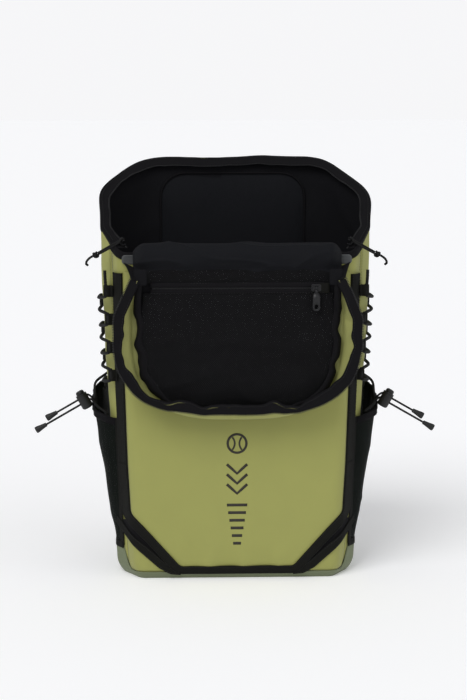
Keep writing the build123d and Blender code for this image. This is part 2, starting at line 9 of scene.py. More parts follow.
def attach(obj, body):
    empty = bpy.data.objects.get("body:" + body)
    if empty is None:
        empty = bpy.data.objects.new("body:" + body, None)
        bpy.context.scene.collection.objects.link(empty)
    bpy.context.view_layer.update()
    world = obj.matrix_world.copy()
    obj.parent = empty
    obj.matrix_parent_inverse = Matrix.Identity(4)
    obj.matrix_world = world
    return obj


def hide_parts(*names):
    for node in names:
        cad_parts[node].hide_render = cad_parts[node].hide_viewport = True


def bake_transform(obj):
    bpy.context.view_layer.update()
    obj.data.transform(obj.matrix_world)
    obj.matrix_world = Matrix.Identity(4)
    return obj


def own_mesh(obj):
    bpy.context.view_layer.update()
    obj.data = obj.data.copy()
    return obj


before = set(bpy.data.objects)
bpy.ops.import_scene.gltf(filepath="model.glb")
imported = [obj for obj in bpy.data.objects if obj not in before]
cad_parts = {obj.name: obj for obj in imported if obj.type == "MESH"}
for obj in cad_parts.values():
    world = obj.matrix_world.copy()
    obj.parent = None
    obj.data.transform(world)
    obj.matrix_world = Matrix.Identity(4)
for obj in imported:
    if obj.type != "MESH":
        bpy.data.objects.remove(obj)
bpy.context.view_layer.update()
scene = bpy.context.scene
MM = 0.001                    # shapes are worked out in millimetres, and made in metres
SIDES = (("right", 1), ("left", -1))
FORWARD = Vector((0, -1, 0))
BACKWARD = Vector((0, 1, 0))
UP = Vector((0, 0, 1))

# ---- the body's outline, as in the CAD ----

HALF_DEPTH = 82.5
BASE_HALF_WIDTH = 152.0
SIDE_FLARE = 0.047
FRONT_CORNER = (25.0, 42.0)   # a bevel's width across and back
BACK_CORNER = (56.0, 58.0)
FRONT_RADIUS, BACK_RADIUS, LEAST_RADIUS = 18.0, 45.0, 5.0
FOOT_TUCK, TUCK_HEIGHT = 9.0, 20.0
SWAY, SWAY_DEPTH = 4.0, 80.0  # the soft mouth edge: how far it wanders, and how far down that reaches
RIM_FRONT = 420.0
SLOPE = radians(35.0)
RISE = tan(SLOPE)
TAPE_INSET = 11.5
COIL = 1.1
LID_TAPE_INSET = 14.7
LID_TAPE_END = 26.2
LID_DEPTH = 26.0
BACK_TRIM = 5.0
LID_PLANE_Y = -128.03         # the plane of the open lid's zip tape
LID_FOOT_Z = 401.7            # the height on it that meets the mouth's front edge when shut
ARC_STEPS = 8
LINE_STEPS = (8, 26, 16, 48, 16, 26, 8, 64)


def both_sides(right):
    """An outline from its right half, given in order from the front."""
    return [Vector(p) for p in right] + [Vector((-x, y)) for x, y in reversed(right)]


def shrink(corners, inset):
    """Moves the corners of a convex counter-clockwise outline inwards by inset."""
    moved = []
    for i, here in enumerate(corners):
        came = (here - corners[i - 1]).normalized()
        goes = (corners[(i + 1) % len(corners)] - here).normalized()
        across = Vector((-came.y, came.x)) + Vector((-goes.y, goes.x))
        moved.append(here + across * (inset / (1 + came.dot(goes))))
    return moved


def rounded(corners, radii, line_steps, arc_steps=ARC_STEPS):
    """A closed outline with rounded corners, always sampled with the same number of points."""
    arcs = []
    count = len(corners)
    for i, (here, radius) in enumerate(zip(corners, radii)):
        back = (corners[i - 1] - here).normalized()
        on = (corners[(i + 1) % count] - here).normalized()
        half = back.angle(on) / 2
        centre = here + (back + on).normalized() * (radius / sin(half))
        first = here + back * (radius / tan(half)) - centre
        last = here + on * (radius / tan(half)) - centre
        a0 = atan2(first.y, first.x)
        turn = (atan2(last.y, last.x) - a0 + pi) % (2 * pi) - pi
        angles = [a0 + turn * k / arc_steps for k in range(arc_steps + 1)]
        arcs.append([centre + Vector((cos(a), sin(a))) * radius for a in angles])
    points = []
    for i in range(count):
        points += arcs[i]
        following = arcs[(i + 1) % count][0]
        points += [arcs[i][-1].lerp(following, k / line_steps[i]) for k in range(1, line_steps[i])]
    half_front = line_steps[-1] // 2
    return points[-half_front:] + points[:-half_front]


def soften(ring, rounds, start):
    """Rounds the corners of an outline beyond start, as loose cloth does."""
    for _ in range(rounds):
        count = len(ring)
        ring = [p if p.y < start else p * 0.5 + (ring[i - 1] + ring[(i + 1) % count]) * 0.25
                for i, p in enumerate(ring)]
    return ring


def bag_outline(corners, inset):
    """The bag's rounded outline, from its corners, drawn in by inset."""
    front = max(FRONT_RADIUS - inset, LEAST_RADIUS)
    back = max(BACK_RADIUS - inset, LEAST_RADIUS)
    radii = [front, front, back, back, back, back, front, front]
    return soften(rounded(shrink(corners, inset), radii, LINE_STEPS), 24, 10.0)


def half_width(z):
    """The bag widens a little as it rises."""
    return BASE_HALF_WIDTH + SIDE_FLARE * z


def plan_corners(z):
    """The corners of the bag's outline at height z."""
    edge = half_width(z)
    return both_sides([
        (edge - FRONT_CORNER[0], -HALF_DEPTH),
        (edge, -HALF_DEPTH + FRONT_CORNER[1]),
        (edge, HALF_DEPTH - BACK_CORNER[1]),
        (edge - BACK_CORNER[0], HALF_DEPTH),
    ])


RING = bag_outline(plan_corners(0), 0)
GAIN = [(high.x - low.x) / 1000 for high, low in zip(bag_outline(plan_corners(1000), 0), RING)]
N = len(RING)
HALF_N = N // 2
NORMALS = []
for i in range(N):
    along = (RING[(i + 1) % N] - RING[i - 1]).normalized()
    NORMALS.append(Vector((along.y, -along.x)))


def ease(z):
    """How far the bottom edge is drawn in."""
    return FOOT_TUCK * max(0.0, 1 - z / TUCK_HEIGHT) ** 2.2


def mouth_sway(p):
    """How the bag's soft edge wanders in and out near the mouth."""
    return SWAY * rough(p, 62, 14) * min(1.0, max(0.0, (p[1] + 75.0) / 30.0))


def spot(t, z, out=0.0):
    """A point at index t round the outline, at height z, out from the body's surface."""
    i = int(t // 1)
    f = t - i
    a, b = i % N, (i + 1) % N
    normal = NORMALS[a].lerp(NORMALS[b], f).normalized()
    flat = RING[a].lerp(RING[b], f)
    rim = rim_height(flat.y)
    close = max(0.0, 1 - max(0.0, rim - z) / SWAY_DEPTH)
    sway = mouth_sway((flat.x + GAIN[a] * rim, flat.y, rim)) * close ** 1.5 if close else 0.0
    flat = flat + normal * (out - ease(z) + sway)
    return Vector((flat.x + (GAIN[a] * (1 - f) + GAIN[b] * f) * z, flat.y, z))


def normal_at(t):
    """The level way out of the bag's surface at index t."""
    a, b = int(t // 1) % N, (int(t // 1) + 1) % N
    flat = NORMALS[a].lerp(NORMALS[b], t - t // 1).normalized()
    return Vector((flat.x, flat.y, 0))


def t_at_x(x, z=200.0):
    """The index of a place on the front, or its bevels, from its x."""
    if x < 0:
        return -t_at_x(-x, z)
    for i in range(HALF_N):
        x0, x1 = RING[i].x + GAIN[i] * z, RING[i + 1].x + GAIN[i + 1] * z
        if x0 <= x < x1:
            return i + (x - x0) / (x1 - x0)
    return t_at_y(-40.0)


def t_at_y(y):
    """The index of a place on the right-hand side from its y."""
    for i in range(HALF_N):
        if RING[i].y <= y < RING[i + 1].y:
            return i + (y - RING[i].y) / (RING[i + 1].y - RING[i].y)
    return float(HALF_N)


def rim_height(y):
    """The height of the mouth's edge, which slopes up to the back."""
    return RIM_FRONT + (y + HALF_DEPTH) * RISE


# ---- small helpers ----

def rough(p, size, seed=0.0):
    """Smooth noise between about -1 and 1; size is the width of its lumps in mm."""
    return noise.noise(Vector((p[0] / size + seed, p[1] / size - seed, p[2] / size + 2.7 * seed)))


def creases(p, size, seed=0.0):
    """Sharp-topped noise, 0 to 1, like folds in cloth."""
    return (1 - abs(rough(p, size, seed)) * 2.2) ** 3 if abs(rough(p, size, seed)) < 0.45 else 0.0


def steps(a, b, count):
    return [a + (b - a) * k / (count - 1) for k in range(count)]


def dome(f, power=4):
    """1 in the middle of 0..1, falling to 0 at its ends."""
    return 1 - abs(2 * f - 1) ** power


def smooth_path(points, step, closed=False):
    """A smooth curve through points, sampled evenly."""
    points = [Vector(p) for p in points]
    count = len(points)
    spans = count if closed else count - 1
    dense = []
    for i in range(spans):
        if closed:
            a, b, c, d = points[i - 1], points[i], points[(i + 1) % count], points[(i + 2) % count]
        else:
            b, c = points[i], points[i + 1]
            a = points[i - 1] if i else b * 2 - c
            d = points[i + 2] if i + 2 < count else c * 2 - b
        for k in range(12):
            f = k / 12
            dense.append(0.5 * (2 * b + (c - a) * f + (2 * a - 5 * b + 4 * c - d) * f ** 2
                                + (3 * b - a - 3 * c + d) * f ** 3))
    dense.append(points[0] if closed else points[-1])
    even = spread(dense, step)
    return even[:-1] if closed else even


def spread(points, step):
    """Points along a polyline, evenly."""
    points = [Vector(p) for p in points]
    lengths = [0.0]
    for p, q in zip(points, points[1:]):
        lengths.append(lengths[-1] + (q - p).length)
    wanted = max(2, round(lengths[-1] / step) + 1)
    result = []
    at = 0
    for k in range(wanted):
        length = lengths[-1] * k / (wanted - 1)
        while at < len(points) - 2 and lengths[at + 1] < length:
            at += 1
        gap = lengths[at + 1] - lengths[at]
        f = min(1.0, (length - lengths[at]) / gap) if gap else 0.0
        result.append(points[at].lerp(points[at + 1], f))
    return result


class Shape:
    """Collects faces, then makes one Blender mesh of them."""

    def __init__(self):
        self.verts, self.faces, self.uvs = [], [], []

    def grid(self, rows, closed=False, caps=False):
        """A skin through rows of points. closed joins each row's ends; caps fills the first and last rows."""
        base = len(self.verts)
        n = len(rows[0])
        middle = rows[len(rows) // 2]
        along = [0.0]
        for i in range(n):
            along.append(along[-1] + (middle[(i + 1) % n] - middle[i]).length)
        across = [0.0]
        for a, b in zip(rows, rows[1:]):
            across.append(across[-1] + (b[n // 2] - a[n // 2]).length)
        for row in rows:
            self.verts += row
        for r in range(len(rows) - 1):
            for i in range(n if closed else n - 1):
                j = (i + 1) % n
                low, high = base + r * n, base + (r + 1) * n
                self.faces.append((low + i, low + j, high + j, high + i))
                self.uvs.append(((along[i], across[r]), (along[i + 1], across[r]),
                                 (along[i + 1], across[r + 1]), (along[i], across[r + 1])))
        if caps:
            for first, order in ((base, -1), (base + (len(rows) - 1) * n, 1)):
                loop = [first + i for i in range(n)][::order]
                self.faces.append(tuple(loop))
                self.uvs.append(tuple((self.verts[v].x, self.verts[v].z) for v in loop))
        return self

    def sweep(self, path, profile, up=None, closed=False, caps=True):
        """Carries a profile along a path. profile(k) gives (side, out) pairs; up(k) the out direction."""
        count = len(path)
        rows = []
        normal = None
        for k, p in enumerate(path):
            if closed:
                ahead = (path[(k + 1) % count] - path[k - 1]).normalized()
            else:
                ahead = (path[min(k + 1, count - 1)] - path[max(k - 1, 0)]).normalized()
            if up:
                normal = up(k)
            elif normal is None:
                normal = Vector((0, 0, 1)) if abs(ahead.z) < 0.9 else Vector((0, 1, 0))
            normal = (normal - ahead * normal.dot(ahead)).normalized()
            side = ahead.cross(normal)
            rows.append([p + side * a + normal * b for a, b in profile(k)])
        if closed:
            rows.append(rows[0])
        return self.grid(rows, closed=True, caps=caps and not closed)

    def make(self, name, look, body, replaces=(), slot=None, thick=0.0, level=0, flip=False, solid=True,
             blend=None):
        """Makes the mesh as a piece that rides body, or, given blend, one baked in place and left on no body.

        thick gives a sheet its thickness, level smooths it, and solid is False for an open sheet,
        whose faces then look the way they were laid, or the other way with flip.
        """
        mesh = bpy.data.meshes.new(name)
        mesh.from_pydata([p * MM for p in self.verts], [], self.faces)
        layer = mesh.uv_layers.new(name="cloth")
        for face, uvs in zip(mesh.polygons, self.uvs):
            for loop, uv in zip(face.loop_indices, uvs):
                layer.data[loop].uv = (uv[0] * MM, uv[1] * MM)
        work = bmesh.new()
        work.from_mesh(mesh)
        bmesh.ops.remove_doubles(work, verts=work.verts, dist=1e-6)
        if solid:
            bmesh.ops.recalc_face_normals(work, faces=work.faces)
        if flip:
            bmesh.ops.reverse_faces(work, faces=work.faces)
        work.to_mesh(mesh)
        work.free()
        for face in mesh.polygons:
            face.use_smooth = True
        mesh.materials.append(look)
        piece = bpy.data.objects.new(name, mesh)
        scene.collection.objects.link(piece)
        if thick:
            wall = piece.modifiers.new("thickness", "SOLIDIFY")
            wall.thickness = thick * MM
            wall.offset = -1
        if level:
            soft = piece.modifiers.new("soft", "SUBSURF")
            soft.levels = soft.render_levels = level
        if blend:
            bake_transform(piece)
        else:
            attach(piece, body)
        if replaces:
            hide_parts(*replaces)
        slot or SLOTS[look.name]
        return piece


def round_profile(radius, sides=8):
    return [(radius * cos(2 * pi * k / sides), radius * sin(2 * pi * k / sides)) for k in range(sides)]


def braided(radius, sides=8, twist=0.9, depth=0.09):
    """A cord's profile, with a diagonal braid that turns as it goes."""
    def profile(k):
        ring = []
        for s in range(sides):
            angle = 2 * pi * s / sides
            r = radius * (1 + depth * sin(3 * angle + twist * k) * sin(3 * angle - twist * k))
            ring.append((r * cos(angle), r * sin(angle)))
        return ring
    return profile


def flat_webbing(width, thick, rib=0.16, period=3):
    """Webbing with ribs across it, rounded at the selvedges."""
    def profile(k):
        t = thick / 2 + (rib if k % period else 0.0)
        w = width / 2
        return [(-w, 0), (-w + 0.6, t * 0.85), (-w * 0.5, t), (w * 0.5, t), (w - 0.6, t * 0.85), (w, 0),
                (w - 0.6, -t * 0.85), (w * 0.5, -t), (-w * 0.5, -t), (-w + 0.6, -t * 0.85)]
    return profile


THREADS = {}

STITCH_PITCH = 3.6
STITCH_LENGTH = 2.5
THREAD_RADIUS = 0.32
ANY_SLANT = Vector((0.3, 0.5, 0.81))      # no row of stitches runs this way


def stitch(path, body, colour="thread_dark"):
    """A row of stitches along a path, added to that body's thread."""
    shape = THREADS.setdefault((body, colour), Shape())
    points = spread(path, STITCH_PITCH)
    for start, following in zip(points, points[1:]):
        ahead = following - start
        if ahead.length < 0.5:
            continue
        ahead = ahead.normalized()
        side = ahead.cross(ANY_SLANT).normalized()
        up = ahead.cross(side)
        rows = []
        for f, r in ((0.0, 0.25), (0.25, 1.0), (0.75, 1.0), (1.0, 0.25)):
            centre = start + ahead * (STITCH_LENGTH * f)
            rows.append([centre + (side * cos(a) + up * sin(a)) * (THREAD_RADIUS * r)
                         for a in (0, 1.57, 3.14, 4.71)])
        shape.grid(rows, closed=True, caps=True)


def teeth(shape, path, across, up, pitch=2.0, size=(2.4, 0.55)):
    """The coil of a zip: rounded teeth set across a path."""
    for p in spread(path, pitch):
        side = across(p)
        ahead = side.cross(up).normalized()
        rows = []
        for f, r in ((-0.5, 0.35), (-0.35, 1.0), (0.35, 1.0), (0.5, 0.5)):
            centre = p + side * (size[0] * f)
            rows.append([centre + (ahead * cos(a) + up * sin(a)) * (size[1] * r)
                         for a in (0.0, 1.05, 2.09, 3.14, 4.19, 5.24)])
        shape.grid(rows, closed=True, caps=True)


# ---- materials ----

SLOTS = {}                    # each look's usual slot, by name


def linear(r, g, b):
    """A colour given as 0 to 255, made linear for Blender."""
    shares = [c / 255 for c in (r, g, b)]
    return tuple(c / 12.92 if c < 10 / 255 else ((c + 0.055) / 1.055) ** 2.4 for c in shares) + (1.0,)


def fabric(name, slot, colour, roughness=0.8, period=0.9, weave=0.35, ribs=0.0, holes=0.0, mottle=0.12,
           sheen=0.1, coords="UV", metallic=0.0, lump=0.0, specular=0.4):
    """Cloth, webbing, mesh, foam or plastic, for pieces of the CAD material slot.

    period is the weave's in mm, holes is how open a mesh is.
    """
    material = bpy.data.materials.new(name)
    SLOTS[material.name] = slot
    material.use_nodes = True
    tree = material.node_tree
    shader = tree.nodes["Principled BSDF"]
    link = tree.links.new

    def node(kind, **values):
        made = tree.nodes.new(kind)
        for key, value in values.items():
            if key in made.inputs:
                made.inputs[key].default_value = value
            else:
                setattr(made, key, value)
        return made

    def maths(operation, a, b):
        made = node("ShaderNodeMath", operation=operation)
        for slot_number, value in enumerate((a, b)):
            if isinstance(value, (int, float)):
                made.inputs[slot_number].default_value = value
            else:
                link(value, made.inputs[slot_number])
        return made.outputs[0]

    place = node("ShaderNodeTexCoord").outputs[coords]
    blotch = node("ShaderNodeTexNoise", Scale=22.0, Detail=5.0, Roughness=0.6)
    link(place, blotch.inputs["Vector"])
    grain = node("ShaderNodeTexNoise", Scale=900.0, Detail=2.0)
    link(place, grain.inputs["Vector"])

    def bands(width, way):
        scale = 2 * pi / (20 * width * MM)
        return node("ShaderNodeTexWave", Scale=scale, bands_direction=way, wave_type="BANDS")

    turned = node("ShaderNodeMapping")
    if holes:
        turned.inputs["Rotation"].default_value = (0, 0, radians(45))
    link(place, turned.inputs["Vector"])
    warp = bands(period, "X")
    weft = bands(period, "Y" if coords == "UV" else "Z")
    link(turned.outputs[0], warp.inputs["Vector"])
    link(turned.outputs[0], weft.inputs["Vector"])
    cloth = maths("MULTIPLY", warp.outputs[1], weft.outputs[1])
    if not holes:
        cloth = maths("MAXIMUM", warp.outputs[1], weft.outputs[1])
    height = maths("MULTIPLY", cloth, weave)
    if ribs:
        rib = bands(ribs, "Y")
        link(place, rib.inputs["Vector"])
        height = maths("ADD", height, rib.outputs[1])
    height = maths("ADD", height, maths("MULTIPLY", grain.outputs[0], 0.35))
    height = maths("ADD", height, maths("MULTIPLY", blotch.outputs[0], lump))
    bump = node("ShaderNodeBump", Strength=0.55, Distance=0.0005)
    link(height, bump.inputs["Height"])
    link(bump.outputs[0], shader.inputs["Normal"])
    shade = maths("ADD", maths("MULTIPLY", blotch.outputs[0], 2 * mottle), 1.0 - mottle)
    shade = maths("ADD", shade, maths("MULTIPLY", maths("SUBTRACT", cloth, 0.5), 0.22 * weave))
    tint = node("ShaderNodeMix", data_type="RGBA", blend_type="MULTIPLY")
    tint.inputs["Factor"].default_value = 1.0
    tint.inputs[6].default_value = colour
    grey = node("ShaderNodeCombineColor")
    for channel in range(3):
        link(shade, grey.inputs[channel])
    link(grey.outputs[0], tint.inputs[7])
    link(tint.outputs[2], shader.inputs["Base Color"])
    uneven = maths("ADD", maths("MULTIPLY", blotch.outputs[0], 0.16), roughness - 0.08)
    link(uneven, shader.inputs["Roughness"])
    shader.inputs["Sheen Weight"].default_value = sheen
    shader.inputs["Sheen Roughness"].default_value = 0.4
    shader.inputs["Specular IOR Level"].default_value = specular
    shader.inputs["Metallic"].default_value = metallic
    if holes:
        clear = node("ShaderNodeBsdfTransparent")
        mixed = node("ShaderNodeMixShader")
        gate = maths("MULTIPLY", maths("GREATER_THAN", cloth, 0.45), holes)
        link(gate, mixed.inputs[0])
        link(shader.outputs[0], mixed.inputs[1])
        link(clear.outputs[0], mixed.inputs[2])
        link(mixed.outputs[0], tree.nodes["Material Output"].inputs["Surface"])
    return material


DULL = {"sheen": 0.0, "specular": 0.15}
FAINT = {"sheen": 0.0, "specular": 0.12}
SATIN = {"sheen": 0.0, "specular": 0.35}

OLIVE = fabric("olive_nylon", "olive", linear(145, 146, 79), roughness=0.62, period=1.1, weave=0.22,
               mottle=0.05, sheen=0.12)
OLIVE_LID = fabric("olive_lid", "olive", linear(152, 153, 91), roughness=0.55, period=1.1, weave=0.22,
                   mottle=0.06)
SAGE = fabric("sage_nylon", "sage", linear(104, 112, 84), roughness=0.7, period=1.1, weave=0.3, mottle=0.08)
LINING = fabric("lining", "black_fabric", linear(14, 14, 17), roughness=0.85, period=1.2, weave=0.4,
                mottle=0.16, lump=0.4, **FAINT)
FOLD = fabric("fold_lining", "black_fabric", linear(14, 15, 19), period=1.2, weave=0.5, mottle=0.16, **DULL)
MESH = fabric("pocket_mesh", "black_mesh", linear(9, 9, 11), roughness=0.7, period=1.9, weave=0.9,
              holes=0.55, mottle=0.14, **FAINT)
SIDE_MESH = fabric("side_mesh", "black_mesh", linear(8, 14, 10), roughness=0.75, period=2.4, weave=1.6,
                   holes=0.3, mottle=0.3, **FAINT)
WEBBING = fabric("webbing", "webbing", linear(16, 16, 13), period=1.6, weave=0.5, ribs=1.8, mottle=0.15,
                 **DULL)
BLACK_TAPE = fabric("black_tape", "webbing", linear(9, 8, 11), roughness=0.82, period=1.0, weave=0.5,
                    mottle=0.15, **DULL)
NYLON_COIL = fabric("nylon_coil", "zip_tape", linear(18, 18, 20), roughness=0.4, period=0.8, weave=0.0,
                    mottle=0.05, **SATIN)
CORD = fabric("cord", "cord", linear(13, 13, 13), roughness=0.7, period=1.0, weave=0.8, mottle=0.1,
              sheen=0.0, specular=0.25)
FOAM = fabric("spacer_mesh", "foam", linear(36, 37, 38), roughness=0.9, period=2.6, weave=1.0,
              coords="Object")
THREAD = fabric("thread_dark", "webbing", linear(30, 30, 30), roughness=0.7, weave=0.0, sheen=0.0,
                specular=0.3)
THREAD_OLIVE = fabric("thread_olive", "webbing", linear(120, 122, 70), roughness=0.7, weave=0.0)
GREY_TAB = fabric("grey_tab", "grey_tab", linear(66, 68, 69), roughness=0.55, period=0.7, weave=0.1,
                  coords="Object")
PLASTIC = fabric("moulded_plastic", "moulded", linear(20, 21, 21), roughness=0.45, period=0.6, weave=0.08,
                 coords="Object", **SATIN)
PAINTED = fabric("painted_zinc", "slider_metal", linear(28, 28, 30), roughness=0.35, weave=0.0,
                 coords="Object", metallic=0.3, sheen=0.0)
STEEL = fabric("spring_steel", "spring_steel", linear(170, 170, 172), roughness=0.3, weave=0.0,
               coords="Object", metallic=1.0)
PRINT = fabric("print_ink", "olive", linear(38, 34, 26), roughness=0.6, period=1.1, weave=0.2, mottle=0.05)


def paint(node, look):
    """Gives a look to a piece that stays as the CAD made it."""
    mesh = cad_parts[node].data
    mesh.materials.clear()
    mesh.materials.append(look)


# ---- body panels ----

SEAM_T = t_at_y(-62.0)
BACK_SEAM_T = t_at_y(62.0)
BASE_LOW, BASE_STEP = 9.0, 30.0


def base_top(t):
    """Height of the darker base's upper edge: low in front, higher round the sides and back."""
    right = min(t % N, N - t % N)
    f = min(1.0, max(0.0, (right - SEAM_T + 1.5) / 4.0))
    return BASE_LOW + BASE_STEP * (3 * f * f - 2 * f ** 3)


def wall_top(t):
    """Height of the cloth walls just under the rim."""
    return rim_height(spot(t, 450).y) - 1.5


def body_panel(name, node, t0, t1, columns, rows, seed):
    """One cloth wall between two places round the outline, from the base up to the rim."""
    lines = []
    for f in steps(0, 1, rows):
        row = []
        for g in steps(0, 1, columns):
            t = t0 + (t1 - t0) * g
            z0, z1 = base_top(t), wall_top(t)
            z = z0 + (z1 - z0) * f
            p = spot(t, z)
            swell = 0.8 * dome(f, 8) * dome(g, 8)
            fold = 1.1 * rough(p, 70, seed) + 0.5 * rough(p, 24, seed) + 0.9 * creases(p, 95, seed + 4)
            edge = 1 - dome(g, 24)
            row.append(spot(t, z, 0.3 + swell + fold * (0.35 + 0.65 * dome(f, 6)) - 1.0 * edge))
        lines.append(row)
    Shape().grid(lines).make(name, OLIVE, "pack", replaces=(node,), thick=1.2, solid=False)


body_panel("front_wall_cloth", "front_wall", -SEAM_T, SEAM_T, 90, 110, 1.0)
body_panel("side_cloth_right", "side_panel_right", SEAM_T, BACK_SEAM_T, 60, 120, 2.0)
body_panel("side_cloth_left", "side_panel_left", N - BACK_SEAM_T, N - SEAM_T, 60, 120, 3.0)
body_panel("back_cloth", "back_panel", BACK_SEAM_T, N - BACK_SEAM_T, 90, 120, 4.0)
for seam in (SEAM_T, BACK_SEAM_T, N - SEAM_T, N - BACK_SEAM_T):
    for shift in (-0.8, 0.8):
        line = [spot(seam + shift, z, 0.9) for z in steps(52, wall_top(seam) - 8, 60)]
        stitch(line, "pack", colour="thread_olive")


def base_tub():
    """The darker cloth of the underside and the lowest part of the walls."""
    rows = []
    for f in (0.0, 0.2, 0.4, 0.6, 0.8, 0.95):
        rows.append([Vector((spot(t, 0.0).x * f, spot(t, 0.0).y * f, 0.0)) for t in range(N)])
    for k in steps(0, 1, 22):
        row = []
        for t in range(N):
            z = base_top(t) * k
            p = spot(t, z)
            row.append(spot(t, z, 0.8 + 0.5 * rough(p, 40, 8) - 0.5 * max(0.0, k - 0.9) * 10))
        rows.append(row)
    Shape().grid(rows, closed=True).make("base_cloth", SAGE, "pack", replaces=("base_panel",), thick=1.2,
                                         flip=True, solid=False)


base_tub()
stitch([spot(t, base_top(t) - 3.0, 1.4) for t in steps(SEAM_T + 2, N - SEAM_T - 2, 200)], "pack")

# ---- front panel with its binding, corner straps and printed mark ----

PANEL_FOOT, PANEL_TOP = 16.5, 398.0
PANEL = both_sides([(73.0, PANEL_FOOT), (135.0, 86.0), (138.5, 150.0), (142.0, 260.0), (144.0, PANEL_TOP)])
PANEL_RADII = [10, 14, 30, 30, 2, 2, 30, 30, 14, 10]


def panel_line(grow):
    """The panel's outline in (x, z), grown outwards."""
    return rounded(shrink(PANEL, -grow), [r + grow for r in PANEL_RADII], (10,) * 10)


def on_front(x, z, out):
    """A point out from the front, or its bevels, above (x, z)."""
    return spot(t_at_x(x, z), z, out)


def panel_out(x, z, f, g):
    """How far the padded panel stands out; f and g run 0 to 1 across and up."""
    pad = 3.4 * dome(f, 16) * dome(g, 18)
    pucker = 1.3 * exp(-((z - 22) / 22) ** 2) * sin(x / 7.0 + 1.5 * rough((x, z, 0), 30)) * dome(f, 6)
    fold = 0.7 * rough((x, z, 0), 90, 5) + 0.35 * rough((x, z, 0), 30, 6)
    return 2.0 + pad + (pucker + fold) * dome(f, 6)


def front_panel():
    """The padded cloth of the front, row by row across its outline."""
    edges = sorted(((p.x, p.y) for p in panel_line(0.0) if p.x > 0), key=lambda p: p[1])

    def reach(z):
        for (x0, z0), (x1, z1) in zip(edges, edges[1:]):
            if z0 <= z <= z1 and z1 > z0:
                return x0 + (x1 - x0) * (z - z0) / (z1 - z0)
        return edges[0][0] if z < edges[0][1] else edges[-1][0]

    rows = []
    for k in range(150):
        g = k / 149
        z = PANEL_FOOT + (PANEL_TOP - PANEL_FOOT) * (g ** 1.25)
        row = []
        for f in steps(0, 1, 96):
            x = reach(max(z, PANEL_FOOT + 0.3)) * (2 * f - 1)
            row.append(on_front(x, z, panel_out(x, z, f, g)))
        rows.append(row)
    Shape().grid(rows).make("front_panel_cloth", OLIVE, "pack", replaces=("front_panel",), thick=1.4,
                            solid=False)


front_panel()

BINDING = ((-0.9, 1.4), (-0.6, 3.6), (0.4, 4.3), (2.7, 4.0), (5.4, 3.8), (8.0, 3.8), (9.8, 3.8), (10.6, 3.0),
           (10.8, 0.4))


def front_binding():
    """The wide tape sewn round the front panel's sides and foot."""
    base = panel_line(0.0)
    count = len(base)
    top = [i for i in range(count) if base[i].y > PANEL_TOP - 2]
    order = list(range(top[-1] + 1, count)) + list(range(top[0]))
    pieces = [max(1, round((base[a] - base[b]).length / 2.0)) for a, b in zip(order, order[1:])]
    fine = []
    for grow, out in BINDING:
        line = panel_line(grow)
        row = []
        for a, b, parts in zip(order, order[1:], pieces):
            row += [line[a].lerp(line[b], k / parts) for k in range(parts)]
        fine.append([on_front(q.x, q.y, out + 0.12 * sin(n * 1.9) + 0.4 * rough((q.x, q.y, 0), 30, 15))
                     for n, q in enumerate(row)])
    Shape().grid(fine).make("front_webbing", WEBBING, "pack", replaces=("front_binding",), solid=False)
    for row in (2, 6):
        stitch([p + Vector((0, -0.3, 0)) for p in fine[row]], "pack")


front_binding()


def corner_shade_sheet(side, sign):
    """A dark sheet of painted shade behind the gap between the binding and the corner strap, standing in for
    the shadow under the strap.
    """
    upper = spread([(sign * x, z, 0) for x, z in ((79, 12.0), (104, 41.0), (126, 68.0), (148, 98.0))], 2.0)
    lower = spread([(sign * x, z, 0) for x, z in ((90, 12.0), (108, 28.0), (130, 48.0), (150, 72.0))], 2.0)
    rows = []
    for f in steps(0, 1, 7):
        row = [a.lerp(b, f) for a, b in zip(upper, lower)]
        rows.append([on_front(p.x, p.y, 1.7) for p in row])
    Shape().grid(rows).make(f"corner_shade_sheet_{side}", BLACK_TAPE, "pack", slot="black_fabric", solid=False,
                            flip=sign < 0)


CORNER_LINE = ((72.0, 10.8), (84.0, 12.0), (97.0, 19.5), (130.0, 49.0), (156.0, 76.0))
CORNER_WIDTH = 11.0


def corner_webbing(side, sign):
    """The strap across a lower corner, laid on the front and sewn down along both edges."""
    flat = spread([(sign * x, z, 0) for x, z in CORNER_LINE], 0.9)
    path = [on_front(p.x, p.y, 2.6) for p in flat]
    facing = [normal_at(t_at_x(p.x, p.y)) for p in flat]
    shape = Shape().sweep(path, flat_webbing(CORNER_WIDTH, 1.5, 0.14), up=lambda k: facing[k])
    shape.make(f"corner_webbing_{side}", WEBBING, "pack", replaces=(f"corner_strap_{side}",))
    for edge in (-1, 1):
        row = []
        for k in range(2, len(path) - 2, 4):
            ahead = (path[k + 1] - path[k - 1]).normalized()
            aside = ahead.cross(facing[k]) * (edge * (CORNER_WIDTH / 2 - 1.6))
            row.append(path[k] + aside + facing[k] * 0.95)
        stitch(row, "pack")


# dark sheets of painted shade at the two lower corners
for side, sign in SIDES:
    corner_shade_sheet(side, sign)
for side, sign in SIDES:
    corner_webbing(side, sign)


